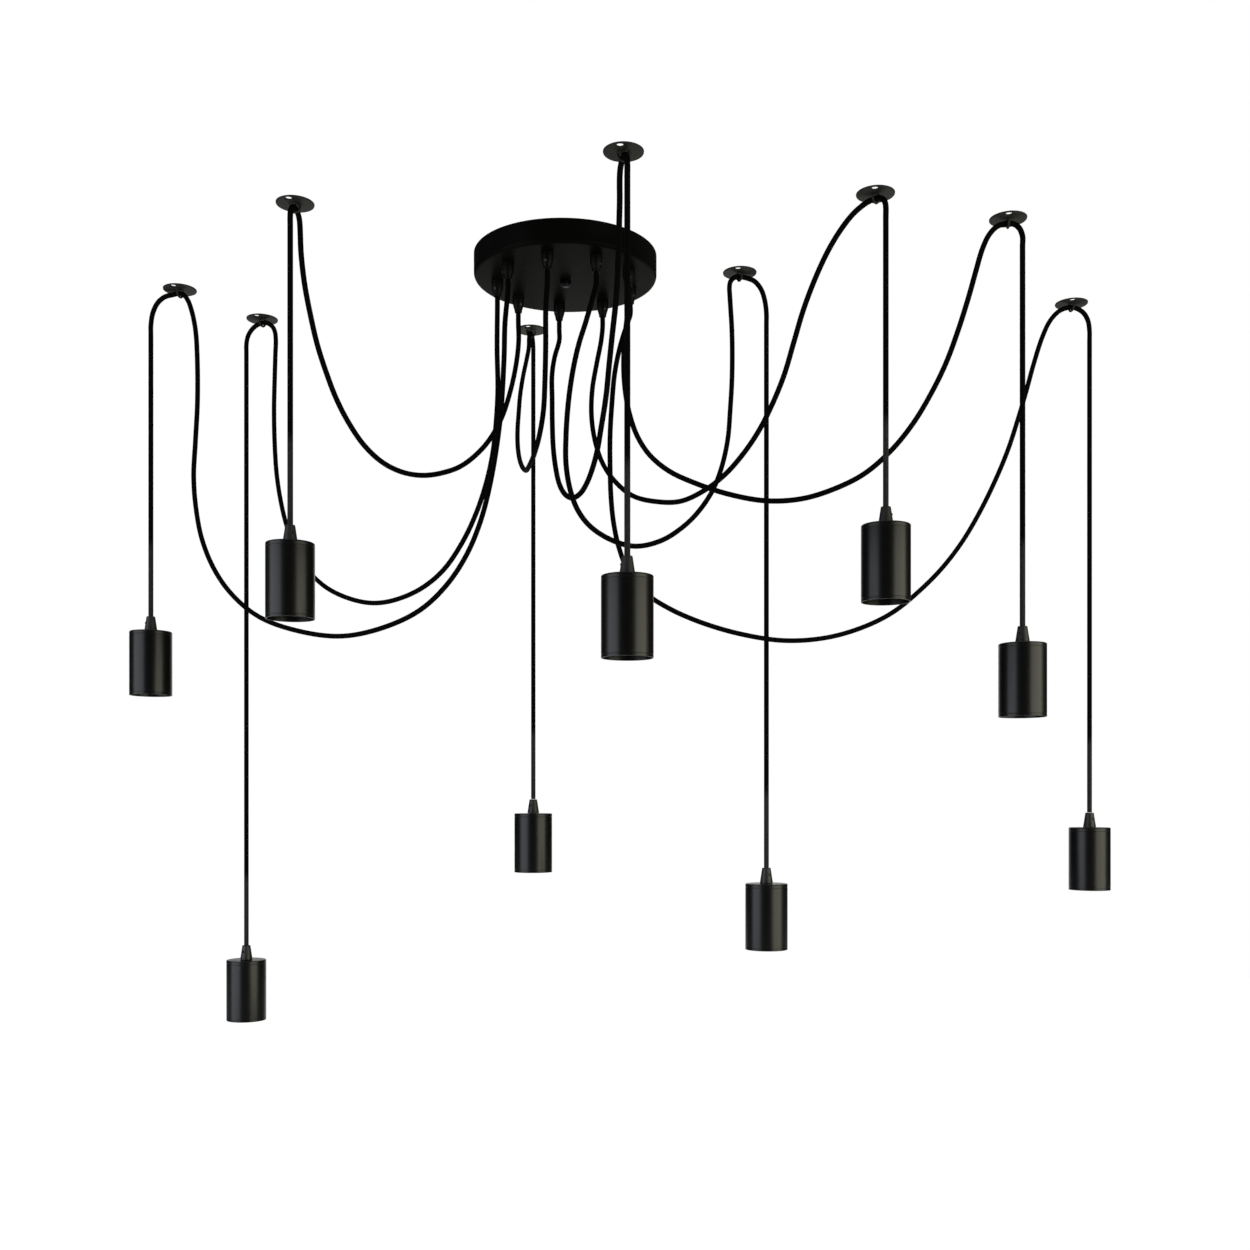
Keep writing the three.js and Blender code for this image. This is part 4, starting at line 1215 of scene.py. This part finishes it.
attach(block, FIXED)
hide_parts("terminal_block")
print("block pieces:", len(meshes))

# %% [markdown]
# The studio is a white room. Two broad soft boxes stand to the left and right, level with the
# cups, so that each cup mirrors both as upright bands. A soft box is a lamp panel, and its
# power grows with its area, so the helper takes the brightness that a mirror would see.

# %% Soft boxes
scene = bpy.context.scene
scene.view_settings.view_transform = "Standard"
AIM, DISTANCE = Vector((0.065, 0, -0.6)), 1.8


def soft_box(name, azimuth, width, height, brightness, tint):
    """A lamp panel that looks as bright as it is told, from the side that azimuth names."""
    lamp = bpy.data.lights.new(name, "AREA")
    lamp.shape = "RECTANGLE"
    lamp.size, lamp.size_y = width, height
    lamp.energy = brightness * math.pi * width * height
    lamp.color = tint
    stand = new_object(name, lamp)
    angle = math.radians(azimuth)
    stand.location = AIM + DISTANCE * Vector((math.sin(angle), -math.cos(angle), 0))
    stand.rotation_euler = (AIM - stand.location).to_track_quat("-Z", "Y").to_euler()
    print(name, "gives", round(lamp.energy, 1), "W")


soft_box("lamp_left", -61, 1.7, 1.5, 3.3, (0.88, 0.93, 1.0))
soft_box("lamp_right", 58, 1.75, 1.5, 4.3, (1.0, 0.97, 0.78))

# %% [markdown]
# Black pieces look black because most of what they mirror is dim. The room is therefore white
# to the camera, and to gloss and glass where it is the backdrop. Elsewhere it is pale overhead
# and dim all round. The Light Path node tells those rays apart, and the direction that a ray
# looks in comes from the world's own coordinates.

# %% Room
def ray_masks(bench):
    """Three masks, each 1 for one kind of ray: camera, glossy and transmission."""
    return [bench.node("ShaderNodeLightPath", {}, {}, f"Is {kind} Ray")
            for kind in ("Camera", "Glossy", "Transmission")]


world = bpy.data.worlds.new("white_room")
scene.world = world
world.use_nodes = True
room = Bench(world.node_tree)
camera_ray, glossy_ray, clear_ray = ray_masks(room)
way = room.node("ShaderNodeTexCoord", {}, {}, "Generated")
ahead = room.part(way, "Y").rise(0.88, 0.97)
shown = camera_ray + (glossy_ray + clear_ray) * ahead
glow = 0.02 + room.part(way, "Z").rise(0.3, 0.8) * 0.5
backdrop = world.node_tree.nodes["Background"]
room.feed(backdrop.inputs["Color"], (1, 1, 1, 1))
room.feed(backdrop.inputs["Strength"], shown + (1 - shown) * glow)
print("room nodes:", len(world.node_tree.nodes))

# %% [markdown]
# The floor is a pale matt sweep, far enough below that the hanging light throws only a faint
# shadow on it. Its paint is lit by the lamps, and a little glow is added for camera rays, so
# that the picture's lower half is as white as the room. Gloss sees that glow as well, but
# only behind the light, where the sweep is.

# %% Floor
FLOOR, SPREAD = -2.4, 12
sheet = bpy.data.meshes.new("studio_floor")
sheet.from_pydata([(x * SPREAD, y * SPREAD, FLOOR) for x, y in SQUARE], [], [(0, 1, 2, 3)])
floor = new_object("studio_floor", sheet)

paint = Finish("pale_floor", Specular_IOR_Level=0.1, Roughness=0.9, Base_Color=(0.8, 0.8, 0.8, 1))
camera_ray, glossy_ray, clear_ray = ray_masks(paint)
place = paint.node("ShaderNodeTexCoord", {}, {}, "Object")
across = paint.part(place, "X")
behind = (paint.part(place, "Y") - across.sum("ABSOLUTE", across) * 1.5).rise(0, 2)
white = (camera_ray + clear_ray) * 0.75
paint.set("Emission Color", paint.blend(glossy_ray * behind, white, (0.75, 0.74, 0.66)))
paint.set("Emission Strength", 1.0)
sheet.materials.append(paint.material)
print("floor at", FLOOR, "m")

# %% [markdown]
